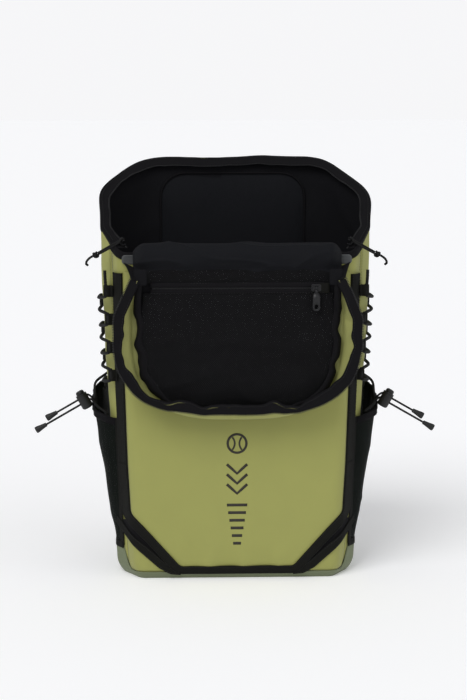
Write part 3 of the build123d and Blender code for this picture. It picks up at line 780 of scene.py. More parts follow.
def printed_mark():
    """A made-up mark: a ball, chevrons and bars in a column."""
    shape = Shape()

    def stroke(points, width, closed=False):
        flat = [Vector((x, z, 0)) for x, z in points]
        count = len(flat)
        rows = [[], []]
        for k, p in enumerate(flat):
            a = flat[k - 1] if closed or k else flat[k]
            b = flat[(k + 1) % count] if closed or k < count - 1 else flat[k]
            ahead = (b - a).normalized()
            side = Vector((-ahead.y, ahead.x, 0)) * (width / 2)
            for row, q in ((rows[0], p - side), (rows[1], p + side)):
                row.append(on_front(q.x, q.y, panel_out(q.x, q.y, 0.5 + q.x / 280, 0.5) + 0.25))
        shape.grid(rows, closed=closed)

    def arc(x, z, r, a0, a1, count=24):
        return [(x + r * cos(radians(a)), z + r * sin(radians(a))) for a in steps(a0, a1, count)]

    stroke(arc(0, 178, 12, 0, 345), 3.0, closed=True)
    stroke(arc(-15, 178, 12, -42, 42), 2.2)
    stroke(arc(15, 178, 12, 138, 222), 2.2)
    for z in (151, 138, 125):
        stroke([(-13, z), (-6.5, z - 6), (0, z - 12), (6.5, z - 6), (13, z)], 3.4)
    for k, z in enumerate((98, 88, 78, 68, 58, 48)):
        reach = 13 - 1.6 * k
        stroke([(x, z) for x in steps(-reach, reach, 6)], 3.6)
    shape.make("front_print", PRINT, "pack", solid=False, thick=0.1)


printed_mark()

# ---- side pockets, cords and cord locks ----

POCKET_FOOT = 41.0
POCKET_FRONT, POCKET_BACK = -54.0, 43.0
HEM_TILT = radians(24)


def hem_height(y):
    """Height of the side pocket's upper edge."""
    return 208.0 + (y + 50.0) * tan(HEM_TILT)


def pocket_bulge(z):
    """How far the side pocket stands off the bag."""
    return 2.6 + (z - POCKET_FOOT) / 214.0 * 20.4


def mirrored(points, sign):
    """Points made for the right-hand side, moved to the side of sign."""
    return [Vector((p.x * sign, p.y, p.z)) for p in points]


def side_spot(y, z, out):
    return spot(t_at_y(y), z, out)


def side_tape(name, path, facing, sign, width, thick, look=WEBBING):
    """Flat tape along a path on the right-hand side, mirrored for the left."""
    shape = Shape().sweep(mirrored(path, sign), flat_webbing(width, thick, 0.1),
                          up=lambda k: Vector((facing[k].x * sign, facing[k].y, 0)))
    shape.make(name, look, "pack")


def pocket_net(side, sign):
    """The pocket's mesh wall, gathered at its upper edge. Gives that edge."""
    rows = []
    for f in steps(0, 1, 64):
        row = []
        for g in steps(0, 1, 54):
            y = POCKET_FRONT + (POCKET_BACK - POCKET_FRONT) * g
            z = POCKET_FOOT + (hem_height(y) - 1.0 - POCKET_FOOT) * f
            crown = min(1.0, dome(g, 2.4) * 1.25)
            bulge = pocket_bulge(z) * crown * (0.25 + 0.75 * min(1.0, f * 5))
            gather = 1.1 * sin(g * 40) * max(0.0, f - 0.75) * 4 * dome(g, 6)
            fold = 1.6 * rough((y, z, 0), 45, 3 * sign) + 1.3 * creases((y, z, 0), 80, 5 + sign)
            row.append(side_spot(y, z, 1.2 + bulge + gather + fold * dome(g, 4)))
        rows.append(mirrored(row, sign))
    Shape().grid(rows).make(f"side_pocket_net_{side}", SIDE_MESH, "pack", replaces=(f"side_pocket_{side}",),
                            thick=0.9, solid=False, flip=sign < 0)
    return rows[-1]


HEM_FOLD = ((-9.0, 0.9), (-8.6, 1.5), (-0.4, 1.7), (0.6, 0.6), (0.0, -1.2), (-8.6, -1.4), (-9.0, -0.6))


def pocket_hem(side, sign, edge):
    """The tape folded over the mesh's upper edge."""
    lines = []
    for drop, out in HEM_FOLD:
        line = []
        for k, p in enumerate(edge):
            away = Vector((sign, 0, 0)) if 6 < k < 48 else Vector((sign, (k - 27) / 40.0, 0)).normalized()
            line.append(p + Vector((0, 0, drop)) + away * (out + 0.35 * sin(k * 2.1)))
        lines.append(line)
    Shape().grid(lines).make(f"side_pocket_hem_{side}", BLACK_TAPE, "pack", solid=False)
    for level in (-8.0, -1.5):
        stitch([p + Vector((sign * 2.0, 0, level)) for p in edge[3:-3]], "pack")


def pocket_tapes(side, sign):
    """The tapes that sew the mesh to the bag at its front, back and foot."""
    for end, y in (("front", POCKET_FRONT), ("back", POCKET_BACK)):
        t = t_at_y(y)
        path = [spot(t, z, 1.8) for z in steps(POCKET_FOOT - 2, hem_height(y), 120)]
        side_tape(f"pocket_edge_{side}_{end}", path, [normal_at(t)] * len(path), sign, 9.0, 1.2)
    along = steps(POCKET_FRONT - 2, POCKET_BACK + 2, 90)
    side_tape(f"pocket_foot_tape_{side}", [side_spot(y, POCKET_FOOT - 1.5, 2.2) for y in along],
              [normal_at(t_at_y(y)) for y in along], sign, 9.0, 1.2)


CORD_DROP = radians(30)
TAIL = Vector((cos(CORD_DROP), 0, -sin(CORD_DROP)))
TAIL_UP = Vector((sin(CORD_DROP), 0, cos(CORD_DROP)))
TAILS = ((-3.4, 58.0), (3.4, 38.0))      # how far each end lies off the lock's middle, and its length


def hem_point(out, y):
    """A point just over the pocket's upper edge."""
    z = hem_height(y) + 2.4
    return Vector((half_width(z) + out, y, z))


LOCK_CENTRE = hem_point(32.0, -26.0) + TAIL_UP * 5
CORD_RADIUS, TAIL_RADIUS, LACE_RADIUS, PULL_RADIUS = 1.7, 1.35, 2.1, 1.35
BELL = ((0.0, 1.9), (0.4, 2.6), (2.0, 2.9), (2.6, 2.6), (3.2, 2.9), (8.0, 3.5), (12.5, 4.3), (15.0, 4.4),
        (15.9, 3.9), (16.1, 2.2), (15.2, 1.6))


def pocket_cords(side, sign):
    """The elastic along the hem, its two ends through the lock, and the bells on those ends."""
    cords = Shape()
    loop = smooth_path([hem_point(5, -47), hem_point(19.5, -28), hem_point(20.5, -4), hem_point(19.5, 20),
                        hem_point(5, 40)], 1.0)
    cords.sweep(mirrored(loop, sign), braided(CORD_RADIUS, 10))
    for offset, length in TAILS:
        line = LOCK_CENTRE + TAIL_UP * offset
        path = smooth_path([hem_point(19.5, -24 + offset), line - TAIL * 8, line, line + TAIL * (length / 2),
                            line + TAIL * length], 1.0)
        cords.sweep(mirrored(path, sign), braided(TAIL_RADIUS, 10))
    cords.make(f"pocket_bungee_{side}", CORD, "pack", replaces=(f"pocket_cord_{side}",))
    bells = Shape()
    for offset, length in TAILS:
        start = LOCK_CENTRE + TAIL_UP * offset + TAIL * (length + 0.3)
        rows = [[start + TAIL * at + (TAIL_UP * cos(a) + BACKWARD * sin(a)) * r
                 for a in steps(0, 2 * pi * 19 / 20, 20)] for at, r in BELL]
        bells.grid([mirrored(row, sign) for row in rows], closed=True, caps=True)
    bells.make(f"cord_bells_{side}", PLASTIC, "pack", replaces=(f"cord_ends_{side}",))


def lock_spring(side, sign):
    """The spring under the lock's button, a fixed coil of four turns."""
    turns, around, foot, length, radius = 4, 16, -9.8, 3.6, 3.2
    path = []
    for k in range(turns * around + 1):
        a = 2 * pi * k / around
        rise = foot + length * k / (turns * around)
        path.append(LOCK_CENTRE + TAIL_UP * rise + (TAIL * cos(a) + BACKWARD * sin(a)) * radius)
    shape = Shape().sweep(mirrored(path, sign), lambda k: round_profile(0.35, 6))
    piece = shape.make(f"lock_coil_{side}", STEEL, f"cord_lock_{side}", replaces=(f"lock_spring_{side}",))
    base = mirrored([LOCK_CENTRE + TAIL_UP * foot], sign)[0] * MM
    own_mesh(piece)


for side, sign in SIDES:
    upper_edge = pocket_net(side, sign)
    pocket_hem(side, sign, upper_edge)
    pocket_tapes(side, sign)
    pocket_cords(side, sign)
    paint(f"cord_lock_{side}", PLASTIC)
    paint(f"lock_button_{side}", PLASTIC)
    lock_spring(side, sign)

# ---- side lacing ----

FRONT_LOOPS = [372.0 - 36.0 * k for k in range(4)]
BACK_LOOPS = [z - 18.0 for z in FRONT_LOOPS]
LACE_Y = -43.0                # where the lace crosses halfway between its two rows of loops
BEVEL = atan2(FRONT_CORNER[0], FRONT_CORNER[1])
FRONT_OUT = Vector((cos(BEVEL), -sin(BEVEL), 0))
FRONT_ALONG = Vector((sin(BEVEL), cos(BEVEL), 0))


def front_spot(z, out):
    """A point out from the front bevel, on the line of its loops."""
    return Vector((half_width(z) - 11, -64, z)) + FRONT_OUT * out


def back_spot(z, out):
    """A point out from the side, on the line of its loops."""
    return Vector((half_width(z) + out, -6, z))


def lace_crossing(z, drop):
    """Where the lace crosses between two loops."""
    return Vector((half_width(z) + 6.2, LACE_Y, z - drop))


def lacing_loops(side, sign):
    """The short loops of webbing, on the front bevel and on the side, that the lace runs through."""
    loops = Shape()
    rows = [(front_spot(z, 0), FRONT_OUT, FRONT_ALONG, 3.4, 8.4) for z in FRONT_LOOPS]
    rows += [(back_spot(z, 0), Vector((1, 0, 0)), BACKWARD, 1.2, 4.0) for z in BACK_LOOPS]
    for centre, out, along, floor, lift in rows:
        path = mirrored(smooth_path([centre + along * a + out * b for a, b in
                                     ((-8.5, floor), (-5.0, floor + 0.4), (-3.6, lift), (0, lift + 2.7),
                                      (3.6, lift), (5.0, floor + 0.4), (8.5, floor))], 0.9), sign)
        end = len(path) - 1
        loops.sweep(path, flat_webbing(15.0, 1.4, 0.1, 2),
                    up=lambda k: UP.cross(path[min(k + 1, end)] - path[max(k - 1, 0)]))
    loops.make(f"lace_loops_{side}", WEBBING, "pack", replaces=(f"lacing_loops_{side}",))


def lace(side, sign):
    """The elastic cord that zigzags down through the loops."""
    points = [front_spot(398, 8.4), front_spot(390, 8.6)]
    for front_z, back_z in zip(FRONT_LOOPS, BACK_LOOPS):
        points += [front_spot(front_z + 6, 8.4), front_spot(front_z - 6, 8.4)]
        points += [lace_crossing(front_z, (front_z - back_z) / 2 + 2)]
        points += [back_spot(back_z + 6, 4.0), back_spot(back_z - 6, 4.0)]
        if back_z != BACK_LOOPS[-1]:
            points += [lace_crossing(back_z, 9)]
    cord = Shape().sweep(mirrored(smooth_path(points, 1.1), sign), braided(LACE_RADIUS, 10))
    cord.make(f"lace_bungee_{side}", CORD, "pack", replaces=(f"side_lace_{side}",))


for side, sign in SIDES:
    lacing_loops(side, sign)
    lace(side, sign)

# ---- the mouth: zip tape, coil, garages ----

COS, SIN = cos(SLOPE), sin(SLOPE)
RIM_OUT = Vector((0, -SIN, COS))


def rim_point(u, v, w=0.0):
    """A point in the mouth's plane: u across, v up the slope, w out of it."""
    return Vector((u, -HALF_DEPTH + v * COS - w * SIN, RIM_FRONT + v * SIN + w * COS))


def mouth_corners(trim, reach):
    """The right-hand corners of the mouth; trim shortens its back, reach carries its front on."""
    corners = []
    places = ((0.0, FRONT_CORNER[0]), (FRONT_CORNER[1], 0.0), (2 * HALF_DEPTH - BACK_CORNER[1], 0.0),
              (2 * HALF_DEPTH, BACK_CORNER[0]))
    for depth, bevel in places:
        v = depth / COS
        edge = half_width(RIM_FRONT + v * SIN) - bevel
        corners.append((edge, v - (trim if depth > HALF_DEPTH else 0)))
    (x0, y0), (x1, y1) = corners[:2]
    corners[0] = (x0 - reach * (x1 - x0) / (y1 - y0), y0 - reach)
    return corners


def mouth_ring(inset, trim=BACK_TRIM, reach=40.0):
    """An outline in the mouth's plane, inset from the bag's wall."""
    return bag_outline(both_sides(mouth_corners(trim, reach)), inset)


ROUND_START = 60.0            # from here up the slope the open lid's edge is one smooth curve
ROUNDNESS = 3.3


def rounded_off(ring, narrower, shorter):
    """Draws an outline in to a smooth arch beyond ROUND_START, as the lid's loose edge hangs."""
    level = min(ring, key=lambda p: abs(p.y - ROUND_START) - (1000 if p.x > 0 else 0))
    half = abs(level.x) - narrower
    reach = max(p.y for p in ring) - ROUND_START - shorter
    arch = []
    for p in ring:
        if p.y <= ROUND_START:
            fade = min(1.0, max(0.0, (p.y + 20) / (ROUND_START + 20)))
            arch.append(Vector((p.x * (1 - fade * narrower / abs(level.x)), p.y)))
            continue
        up = p.y - ROUND_START
        size = (abs(p.x / half) ** ROUNDNESS + (up / reach) ** ROUNDNESS) ** (1 / ROUNDNESS)
        arch.append(Vector((p.x / size, ROUND_START + up / size)))
    return soften(arch, 30, 0.0)


def kept(ring, start):
    """The indices of a ring's points from start up the slope, right to left round the back."""
    return [i for i in range(len(ring)) if ring[i].y >= start]


def front_rim_binding(side, sign):
    """The folded tape that carries on from the zip, round the front corner and under the lid's fold."""
    turns = steps(t_at_x(94.0, 415.0), t_at_y(-64.0), 70)
    path = [spot(t, rim_height(spot(t, 420).y) - 3.2, 0.8) for t in turns]
    side_tape(f"front_rim_binding_{side}", path, [normal_at(t) for t in turns], sign, 10.5, 3.4, BLACK_TAPE)


for side, sign in SIDES:
    front_rim_binding(side, sign)


def mouth_tape():
    """The zip tape round the mouth, folded over the bag's edge, with half of the zip's coil."""
    outer = mouth_ring(-0.4, trim=0.0)
    middle = mouth_ring(TAPE_INSET)
    span = kept(outer, 1.0)
    profile = ((0.00, -7.5, 0.9), (0.00, -7.0, 1.3), (0.00, -1.0, 1.5), (0.02, 0.9, 0.8), (0.14, 1.2, 0.0),
               (0.5, 0.5, 0.0), (0.85, -0.1, 0.0), (1.0, -0.3, 0.0))
    rows = []
    for mix, w, out in profile:
        row = []
        for i in span:
            flat = outer[i].lerp(middle[i], mix)
            ahead = (outer[(i + 1) % N] - outer[i - 1]).normalized()
            flat = flat + Vector((ahead.y, -ahead.x)) * out
            p = rim_point(flat.x, flat.y, w)
            wave = (2.0 * rough(p, 42, 11) + 1.0 * rough(p, 15, 12)) * (0.4 + mix)
            sway = mouth_sway(p) * (1 - 0.3 * mix) + 1.6 * rough(p, 22, 13) * mix
            way = Vector((ahead.y, -ahead.x)) * sway
            row.append(rim_point(flat.x + way.x, flat.y + way.y, w + wave))
        rows.append(row)
    Shape().grid(rows).make("mouth_zip_tape", BLACK_TAPE, "pack", replaces=("mouth_zip",), slot="zip_tape",
                            thick=0.8, solid=False, level=1)
    coil = Shape()
    edge = rows[-1]
    centre = rim_point(0, 95)

    def inward(p):
        way = centre - p
        return (way - RIM_OUT * way.dot(RIM_OUT)).normalized()

    teeth(coil, [p + inward(p) * 0.4 for p in edge], inward, RIM_OUT)
    coil.make("mouth_zip_coil", NYLON_COIL, "pack")
    stitch([rows[4][k].lerp(rows[5][k], 0.3) + RIM_OUT * 0.3 for k in range(2, len(span) - 2)], "pack")


mouth_tape()

LINING_FLOOR = 7.0


def main_lining():
    """The dark lining of the walls and the floor, in loose folds."""
    rows = []
    for f in steps(0, 1, 96):
        row = []
        for t in range(N):
            y = spot(t, 450).y
            z = LINING_FLOOR + (rim_height(y) - 4.5 - LINING_FLOOR) * f
            p = spot(t, z)
            inward = 6.2 + 1.5 * rough(p, 60, 21) + 1.9 * creases(p, 110, 22) - 1.2 * dome(f, 10)
            inward = inward * min(1.0, 0.35 + (1 - f) * 14) + max(0.0, 8 - z) * 0.5
            row.append(spot(t, z, -max(inward, 2.0)))
        rows.append(row)
    bottom = [[Vector((p.x * f, p.y * f, LINING_FLOOR)) for p in rows[0]] for f in (0.0, 0.4, 0.8)]
    Shape().grid(bottom + rows, closed=True).make("lining_cloth", LINING, "pack", replaces=("main_lining",),
                                                  solid=False)


main_lining()


def rounded_rect(x0, x1, z0, z1, radius, arc=6, line=10):
    corners = [Vector(p) for p in ((x1, z0), (x1, z1), (x0, z1), (x0, z0))]
    return rounded(corners, [radius] * 4, (line,) * 4, arc)


def pad_sheet(outline, centre, place, height, rings=14, power=3.0):
    """A crowned pad over a closed outline: rings shrink to its centre. place(x, z, out) puts a point."""
    rows = []
    for k in range(rings + 1):
        f = 1 - k / rings
        lift = height * (1 - f ** power) ** 0.6
        rows.append([place(centre[0] + (p.x - centre[0]) * f, centre[1] + (p.y - centre[1]) * f, lift)
                     for p in outline])
    return rows


def back_sleeve():
    """The sewn-in sleeve on the inside of the back."""
    def place(x, z, out):
        p = Vector((x, 0, z))
        return Vector((x, HALF_DEPTH - 6.0 - out - 0.8 * rough(p, 50, 31) - 0.8 * creases(p, 100, 32), z))

    outline = rounded_rect(-96, 96, 60, 514, 32, line=16)
    shape = Shape().grid(pad_sheet(outline, (0, 280), place, 3.4, power=14.0), closed=True)
    shape.make("back_sleeve", FOLD, "pack", solid=False)
    edge = [place(p.x, p.y, 1.0) for p in outline]
    Shape().sweep(edge, lambda k: round_profile(1.5), up=lambda k: FORWARD, closed=True).make(
        "back_sleeve_piping", BLACK_TAPE, "pack")


back_sleeve()

DIVIDER_Y = 22.5


def divider():
    """The quilted pad that parts the racket's compartment from the rest, with its bound edge."""
    def face(side):
        def place(x, z, out):
            quilt = 0.8 * abs(sin((x + z) * pi / 62)) ** 0.5 + 0.8 * abs(sin((x - z) * pi / 62)) ** 0.5
            return Vector((x, DIVIDER_Y + side * (0.6 + out * (0.4 + 0.4 * quilt)), z))
        return place

    outline = rounded_rect(-141, 141, 11, 397, 24, line=24)
    shape = Shape()
    for side in (-1, 1):
        shape.grid(pad_sheet(outline, (0, 204), face(side), 3.0, rings=40, power=20.0), closed=True)
    shape.make("divider_pad", FOAM, "pack", replaces=("racket_divider",))
    edge = [Vector((p.x, DIVIDER_Y, p.y)) for p in outline]
    Shape().sweep(edge, lambda k: round_profile(1.6), up=lambda k: FORWARD, closed=True).make(
        "divider_binding", BLACK_TAPE, "pack")


divider()
paint("frame_sheet", PLASTIC)


def garage(side, sign):
    """The grey moulded stop at each end of the main zip."""
    outline = rounded_rect(-10, 10, -6, 6, 4.5, line=4)
    rows = []
    for scale, out in ((1.0, 0.4), (1.0, 1.6), (0.94, 2.3), (0.8, 2.6), (0.62, 2.0), (0.3, 2.0), (0.0, 2.0)):
        rows.append([Vector((sign * (135 + p.x * scale), -83.4 - out, 413 + p.y * scale)) for p in outline])
    Shape().grid(rows, closed=True).make(f"garage_tab_{side}", GREY_TAB, "pack", solid=False,
                                         replaces=(f"zip_garage_{side}",), flip=sign > 0)


for side, sign in SIDES:
    garage(side, sign)

# ---- the lid, hanging open ----

LID_PANEL = [(128.0, -70.0), (132.0, 50.0), (128.0, 140.0), (100.0, 188.0)]


def lid_point(u, v, w):
    """A point on the hanging lid: u across, v down from its hinge, w towards the bag."""
    return Vector((u, LID_PLANE_Y + w, LID_FOOT_Z - v))


@lru_cache(maxsize=None)
def lid_ring(inset):
    """The lid panel's outline, drawn in by inset."""
    return rounded_off(bag_outline(both_sides(LID_PANEL), inset), 0.0, 0.0)


def outward(ring, i):
    """The way out of an outline at its point i."""
    ahead = (ring[(i + 1) % N] - ring[i - 1]).normalized()
    return Vector((ahead.y, -ahead.x))


TAPE_OUT = rounded_off(mouth_ring(LID_TAPE_INSET, reach=70.0), 3.5, 2.0)
TAPE_IN = rounded_off(mouth_ring(LID_TAPE_END - 1.0, reach=70.0), 3.5, 2.0)
PANEL_RING = lid_ring(0.0)
SPAN = kept(TAPE_IN, 6.0)
SPAN_ENDS = len(SPAN) - 1


def tape_wave(p):
    """How the lid's zip tape lifts off its plane."""
    return 2.4 * rough(p, 38, 41) + 1.1 * rough(p, 16, 42)


def tape_sway(k, i):
    """How the lid's seam wanders in its own plane."""
    p = lid_point(TAPE_IN[i].x, TAPE_IN[i].y, 0)
    return outward(TAPE_IN, i) * ((7.0 * rough(p, 30, 43) + 3.2 * rough(p, 13, 44)) * settle(k))


def settle(k):
    """0 at the lid's hinge ends, 1 along its sides."""
    return min(1.0, min(k, SPAN_ENDS - k) / 14.0)


def depth_at(k):
    """The side wall narrows to nothing at the hinge."""
    return min(1.0, (min(k, SPAN_ENDS - k) + 1.5) / 11.0)


def lid_corner_tape(side, sign, outer, inner):
    """Where the zip tape leaves the lid and turns down to the stop on the bag's front."""
    from_outer, from_inner = Vector((sign * 143, -85.2, 410.0)), Vector((sign * 130, -85.2, 404.0))
    rows = []
    for f in steps(0, 1, 14):
        bulge = Vector((0, -4.0 * sin(pi * f), 3.0 * sin(pi * f)))
        a = from_outer.lerp(outer, f) + bulge
        b = from_inner.lerp(inner, f) + bulge
        rows.append([a.lerp(b, g) + Vector((0, -1.2 * sin(pi * g), 0.6 * rough(a.lerp(b, g), 14, 45)))
                     for g in steps(0, 1, 8)])
    Shape().grid(rows).make(f"lid_corner_tape_{side}", BLACK_TAPE, "lid", slot="zip_tape", thick=0.8,
                            solid=False, level=1, flip=sign < 0,
                            blend=("pack", "lid", (0, -0.092, 0.412), (0, -0.124, 0.398)))


def lid_zip():
    """The zip tape round the lid's edge, with the other half of the coil."""
    rows = []
    for mix, w in ((0.0, 0.0), (0.12, 0.3), (0.5, 0.5), (0.88, 0.3), (1.0, 0.0), (1.12, 1.2)):
        row = []
        for k, i in enumerate(SPAN):
            flat = TAPE_OUT[i].lerp(TAPE_IN[i], mix)
            p = lid_point(flat.x, flat.y, 0)
            wave = tape_wave(p) * settle(k)
            flat = flat + tape_sway(k, i) * (0.25 + 0.75 * min(1.0, mix))
            row.append(lid_point(flat.x, flat.y, w + wave * (0.7 + 0.3 * mix) - 0.4))
        rows.append(row)
    Shape().grid(rows).make("lid_zip_tape", BLACK_TAPE, "lid", replaces=("lid_zip",), slot="zip_tape",
                            thick=0.8, solid=False, level=1)
    coil = Shape()
    middle = lid_point(0, 90, 0)

    def inward(p):
        way = middle - p
        way.y = 0
        return way.normalized()

    teeth(coil, [p - inward(p) * 0.5 + Vector((0, -0.5, 0)) for p in rows[0]], inward, FORWARD)
    coil.make("lid_zip_coil", NYLON_COIL, "lid")
    stitch([rows[4][k].lerp(rows[3][k], 0.5) + Vector((0, -0.9, 0)) for k in range(3, len(SPAN) - 3)], "lid")
    for (side, sign), k in zip(SIDES, (0, SPAN_ENDS)):
        lid_corner_tape(side, sign, rows[0][k], rows[4][k])


lid_zip()


def lid_gusset():
    """The lid's side wall and top panel, one olive shell."""
    rows = []
    for m in steps(0, 1, 26):
        row = []
        for k, i in enumerate(SPAN):
            flat = TAPE_IN[i].lerp(PANEL_RING[i], m * (0.4 + 0.6 * depth_at(k)))
            p = lid_point(flat.x, flat.y, LID_DEPTH * m)
            tip = max(0.0, (flat.y - 120) / 60)
            puff = (1.6 + 2.4 * tip) * sin(pi * m) ** 0.8
            across = Vector((p.x, p.y * 0.3, p.z))
            fold = 3.8 * rough(across, 27, 51) + 2.6 * creases(across, 44, 52) - 0.8
            fold = fold * dome(m, 4) * settle(k)
            wave = tape_wave(p) * settle(k) * (1 - m)
            flat = flat + outward(PANEL_RING, i) * max(puff + fold, 1.3)
            flat = flat + tape_sway(k, i) * (1 - m) ** 1.5
            row.append(lid_point(flat.x, flat.y, LID_DEPTH * m * depth_at(k) - 0.3 + wave))
        rows.append(row)
    last = rows[-1]
    for f in (0.985, 0.95, 0.88, 0.78, 0.66, 0.52, 0.38, 0.24, 0.1, 0.0):
        row = []
        for k, i in enumerate(SPAN):
            flat = Vector((PANEL_RING[i].x * f, PANEL_RING[i].y))
            if PANEL_RING[i].y > 120:
                flat.y = 120 + (PANEL_RING[i].y - 120) * (0.35 + 0.65 * f)
            p = lid_point(flat.x, flat.y, LID_DEPTH)
            swell = 1.4 * dome(0.5 + f / 2, 6) + 0.8 * rough(p, 60, 53) - 0.4
            deep = depth_at(k) + (1 - depth_at(k)) * min(1.0, (1 - f) * 14)
            flat.x += (TAPE_IN[i].x - PANEL_RING[i].x) * 0.6 * (1 - depth_at(k)) * f
            row.append(lid_point(flat.x, flat.y, LID_DEPTH * deep + swell * min(1.0, (1 - f) * 8)))
        rows.append(row)
    Shape().grid(rows).make("lid_cloth", OLIVE_LID, "lid", replaces=("lid_shell",), thick=1.0, solid=False,
                            flip=True)
    stitch([p + Vector((0, 0.8, 0)) for p in last[3:-3]], "lid", colour="thread_olive")


lid_gusset()


def lid_binding():
    """The bound seam inside the lid, where its side wall meets the lining."""
    inner = lid_ring(11.0)
    rows = []
    for mix, w in ((0.0, 21.5), (0.12, 18.0), (0.35, 15.4), (0.62, 15.0), (0.86, 16.4), (1.0, 19.0)):
        row = []
        for k, i in enumerate(SPAN):
            start = PANEL_RING[i].lerp(TAPE_IN[i], 0.12) - outward(PANEL_RING, i) * 3.0
            flat = start.lerp(inner[i], mix)
            p = lid_point(flat.x, flat.y, 18)
            sway = min(0.2, 8.5 * rough(p, 32, 61) + 3.4 * rough(p, 13, 62) - 1.4) * settle(k)
            flat = flat + outward(PANEL_RING, i) * sway
            row.append(lid_point(flat.x, flat.y, w * depth_at(k) + 1.2 * rough(p, 24, 63) * settle(k)))
        rows.append(row)
    Shape().grid(rows).make("lid_seam_binding", BLACK_TAPE, "lid", thick=0.9, solid=False, level=1)
    for row in (1, 4):
        stitch([rows[row][k] + Vector((0, -0.5, 0)) for k in range(3, len(SPAN) - 3)], "lid")


lid_binding()


def lid_reach(v, inset):
    """The lid panel's half width at v up the slope."""
    ring = lid_ring(inset)
    for a, b in zip(ring, ring[1:HALF_N]):
        if a.y <= v <= b.y and b.y > a.y and a.x > 0:
            return a.x + (b.x - a.x) * (v - a.y) / (b.y - a.y)
    return 0.0


POCKET_ZIP_AT = 22.0
POCKET_HALF = 109.0
LID_TIP = 188.0


def lid_sheet(v0, v1, inset, w, bulge, rows, columns, seed):
    """A cloth across the lid's inside, from v0 to v1 up the slope."""
    lines = []
    for f in steps(0, 1, rows):
        v = v0 + (v1 - v0) * f
        half = lid_reach(v, inset)
        line = []
        for g in steps(-1, 1, columns):
            x = half * g
            p = Vector((x, 0, v))
            sag = bulge * dome(f, 2.5) * (1 - g ** 4)
            fold = 1.3 * rough((p.x * 0.5, 0, p.z), 30, seed)
            fold += 1.6 * creases((p.x * 0.45, 0, p.z), 52, seed + 1)
            line.append(lid_point(x, v, w - sag - fold * dome(f, 6) * (1 - g ** 6)))
        lines.append(line)
    return lines


tip_lining = LID_TIP - 7.3
Shape().grid(lid_sheet(-7.5, tip_lining, 7.0, 21.4, 0.6, 60, 50, 71)).make(
    "lid_lining_cloth", LINING, "lid", replaces=("lid_lining",), thick=0.8, solid=False)
net = Shape()
net.grid(lid_sheet(-3.0, POCKET_ZIP_AT - 6.0, 10.0, 17.6, 1.0, 26, 70, 73))
net.grid(lid_sheet(POCKET_ZIP_AT + 6.0, LID_TIP - 10.3, 10.0, 17.6, 3.4, 80, 70, 75))
net.make("lid_net", MESH, "lid", replaces=("lid_mesh_pocket",), thick=0.5, solid=False)


def pocket_zip():
    """The lid pocket's zip: two tapes, the closed coil and the tab at its end."""
    def ripple(x):
        return 0.5 * rough((x, 0, 0), 40, 81)

    tape = Shape()
    for side in (-1, 1):
        tape.grid([[lid_point(x, POCKET_ZIP_AT + side * v, w + ripple(x))
                    for x in steps(-POCKET_HALF, POCKET_HALF, 90)]
                   for v, w in ((7.0, 17.0), (6.0, 16.2), (3.0, 16.4), (0.6, 16.8))])
    tape.make("pocket_zip_tape", BLACK_TAPE, "lid", replaces=("lid_pocket_zip",), slot="zip_tape",
              thick=0.6, solid=False)
    coil = Shape()
    along = steps(-POCKET_HALF + 3, POCKET_HALF - 3, 80)
    line = [lid_point(x, POCKET_ZIP_AT, 16.6 + ripple(x)) for x in along]
    teeth(coil, line, lambda p: UP, FORWARD, pitch=1.3, size=(3.2, 0.5))
    coil.make("pocket_zip_coil", NYLON_COIL, "lid")
    for v in (-6.2, 6.2):
        stitch([lid_point(x, POCKET_ZIP_AT + v, 15.9) for x in steps(-POCKET_HALF, POCKET_HALF, 60)], "lid")
    outline = rounded_rect(-7, 7, -6.5, 6.5, 1.5, line=6)
    lid_tab("pocket_zip_end", outline, POCKET_HALF - 1.5, POCKET_ZIP_AT, 16.0, 1.3, WEBBING)


def lid_tab(name, outline, u, v, w, height, look):
    """A small tab sewn on the lid's inside."""
    rows = pad_sheet(outline, (0, 0), lambda x, z, out: lid_point(u + x, v + z, w - out), height, rings=5)
    Shape().grid(rows, closed=True).make(name, look, "lid", slot="webbing", solid=False)


pocket_zip()
for side, sign in SIDES:      # black tabs over the ends of the lid's side wall, at the hinge
    lid_tab(f"lid_end_tab_{side}", rounded_rect(-8, 8, -10, 10, 2, line=6), sign * 121.5, 7, 2.4, 1.2, LINING)
paint("pocket_slider", PAINTED)


def pocket_pull():
    """The flat pull: a bar with a slotted, rounded end, hung on the slider."""
    x, y, z = 98.0, -117.63, 379.7
    outer = rounded_rect(-4.5, 4.5, -28.5, -5.5, 3.5, line=5)
    inner = rounded_rect(-2.4, 2.4, -26.4, -20.6, 2.0, line=5)
    rows = []
    for ring, out in ((inner, 0.5), (outer, 0.5), (outer, -0.5), (inner, -0.5)):
        rows.append([Vector((x + p.x, y + out * 1.9, z + p.y)) for p in ring])
    rows.append(rows[0])
    shape = Shape().grid(rows, closed=True)
    neck = [Vector((x, y, z - 6.5)), Vector((x, y, z - 2.0))]
    shape.sweep(neck, lambda k: [(a * 1.9, b * 0.9) for a, b in round_profile(1.0, 10)], up=lambda k: FORWARD)
    eye = [Vector((x, y + 1.75 * cos(a), z + 1.75 * sin(a))) for a in steps(0, 2 * pi * 23 / 24, 24)]
    shape.sweep(eye, lambda k: [(a, b * 0.62) for a, b in round_profile(1.1, 8)], closed=True,
                up=lambda k: Vector((0, cos(2 * pi * k / 24), sin(2 * pi * k / 24))))
    shape.make("pocket_zip_pull", PAINTED, "pocket_pull", replaces=("pocket_pull",))


pocket_pull()

FOLD_HALF = 130.0
FOLD_PROFILE = ((-84.2, 405), (-84.6, 413), (-86.5, 422), (-92, 430), (-100, 434.5), (-109, 435.4),
                (-116.5, 432), (-120, 425), (-119.5, 416), (-115.5, 408), (-111, 402), (-109.5, 393))


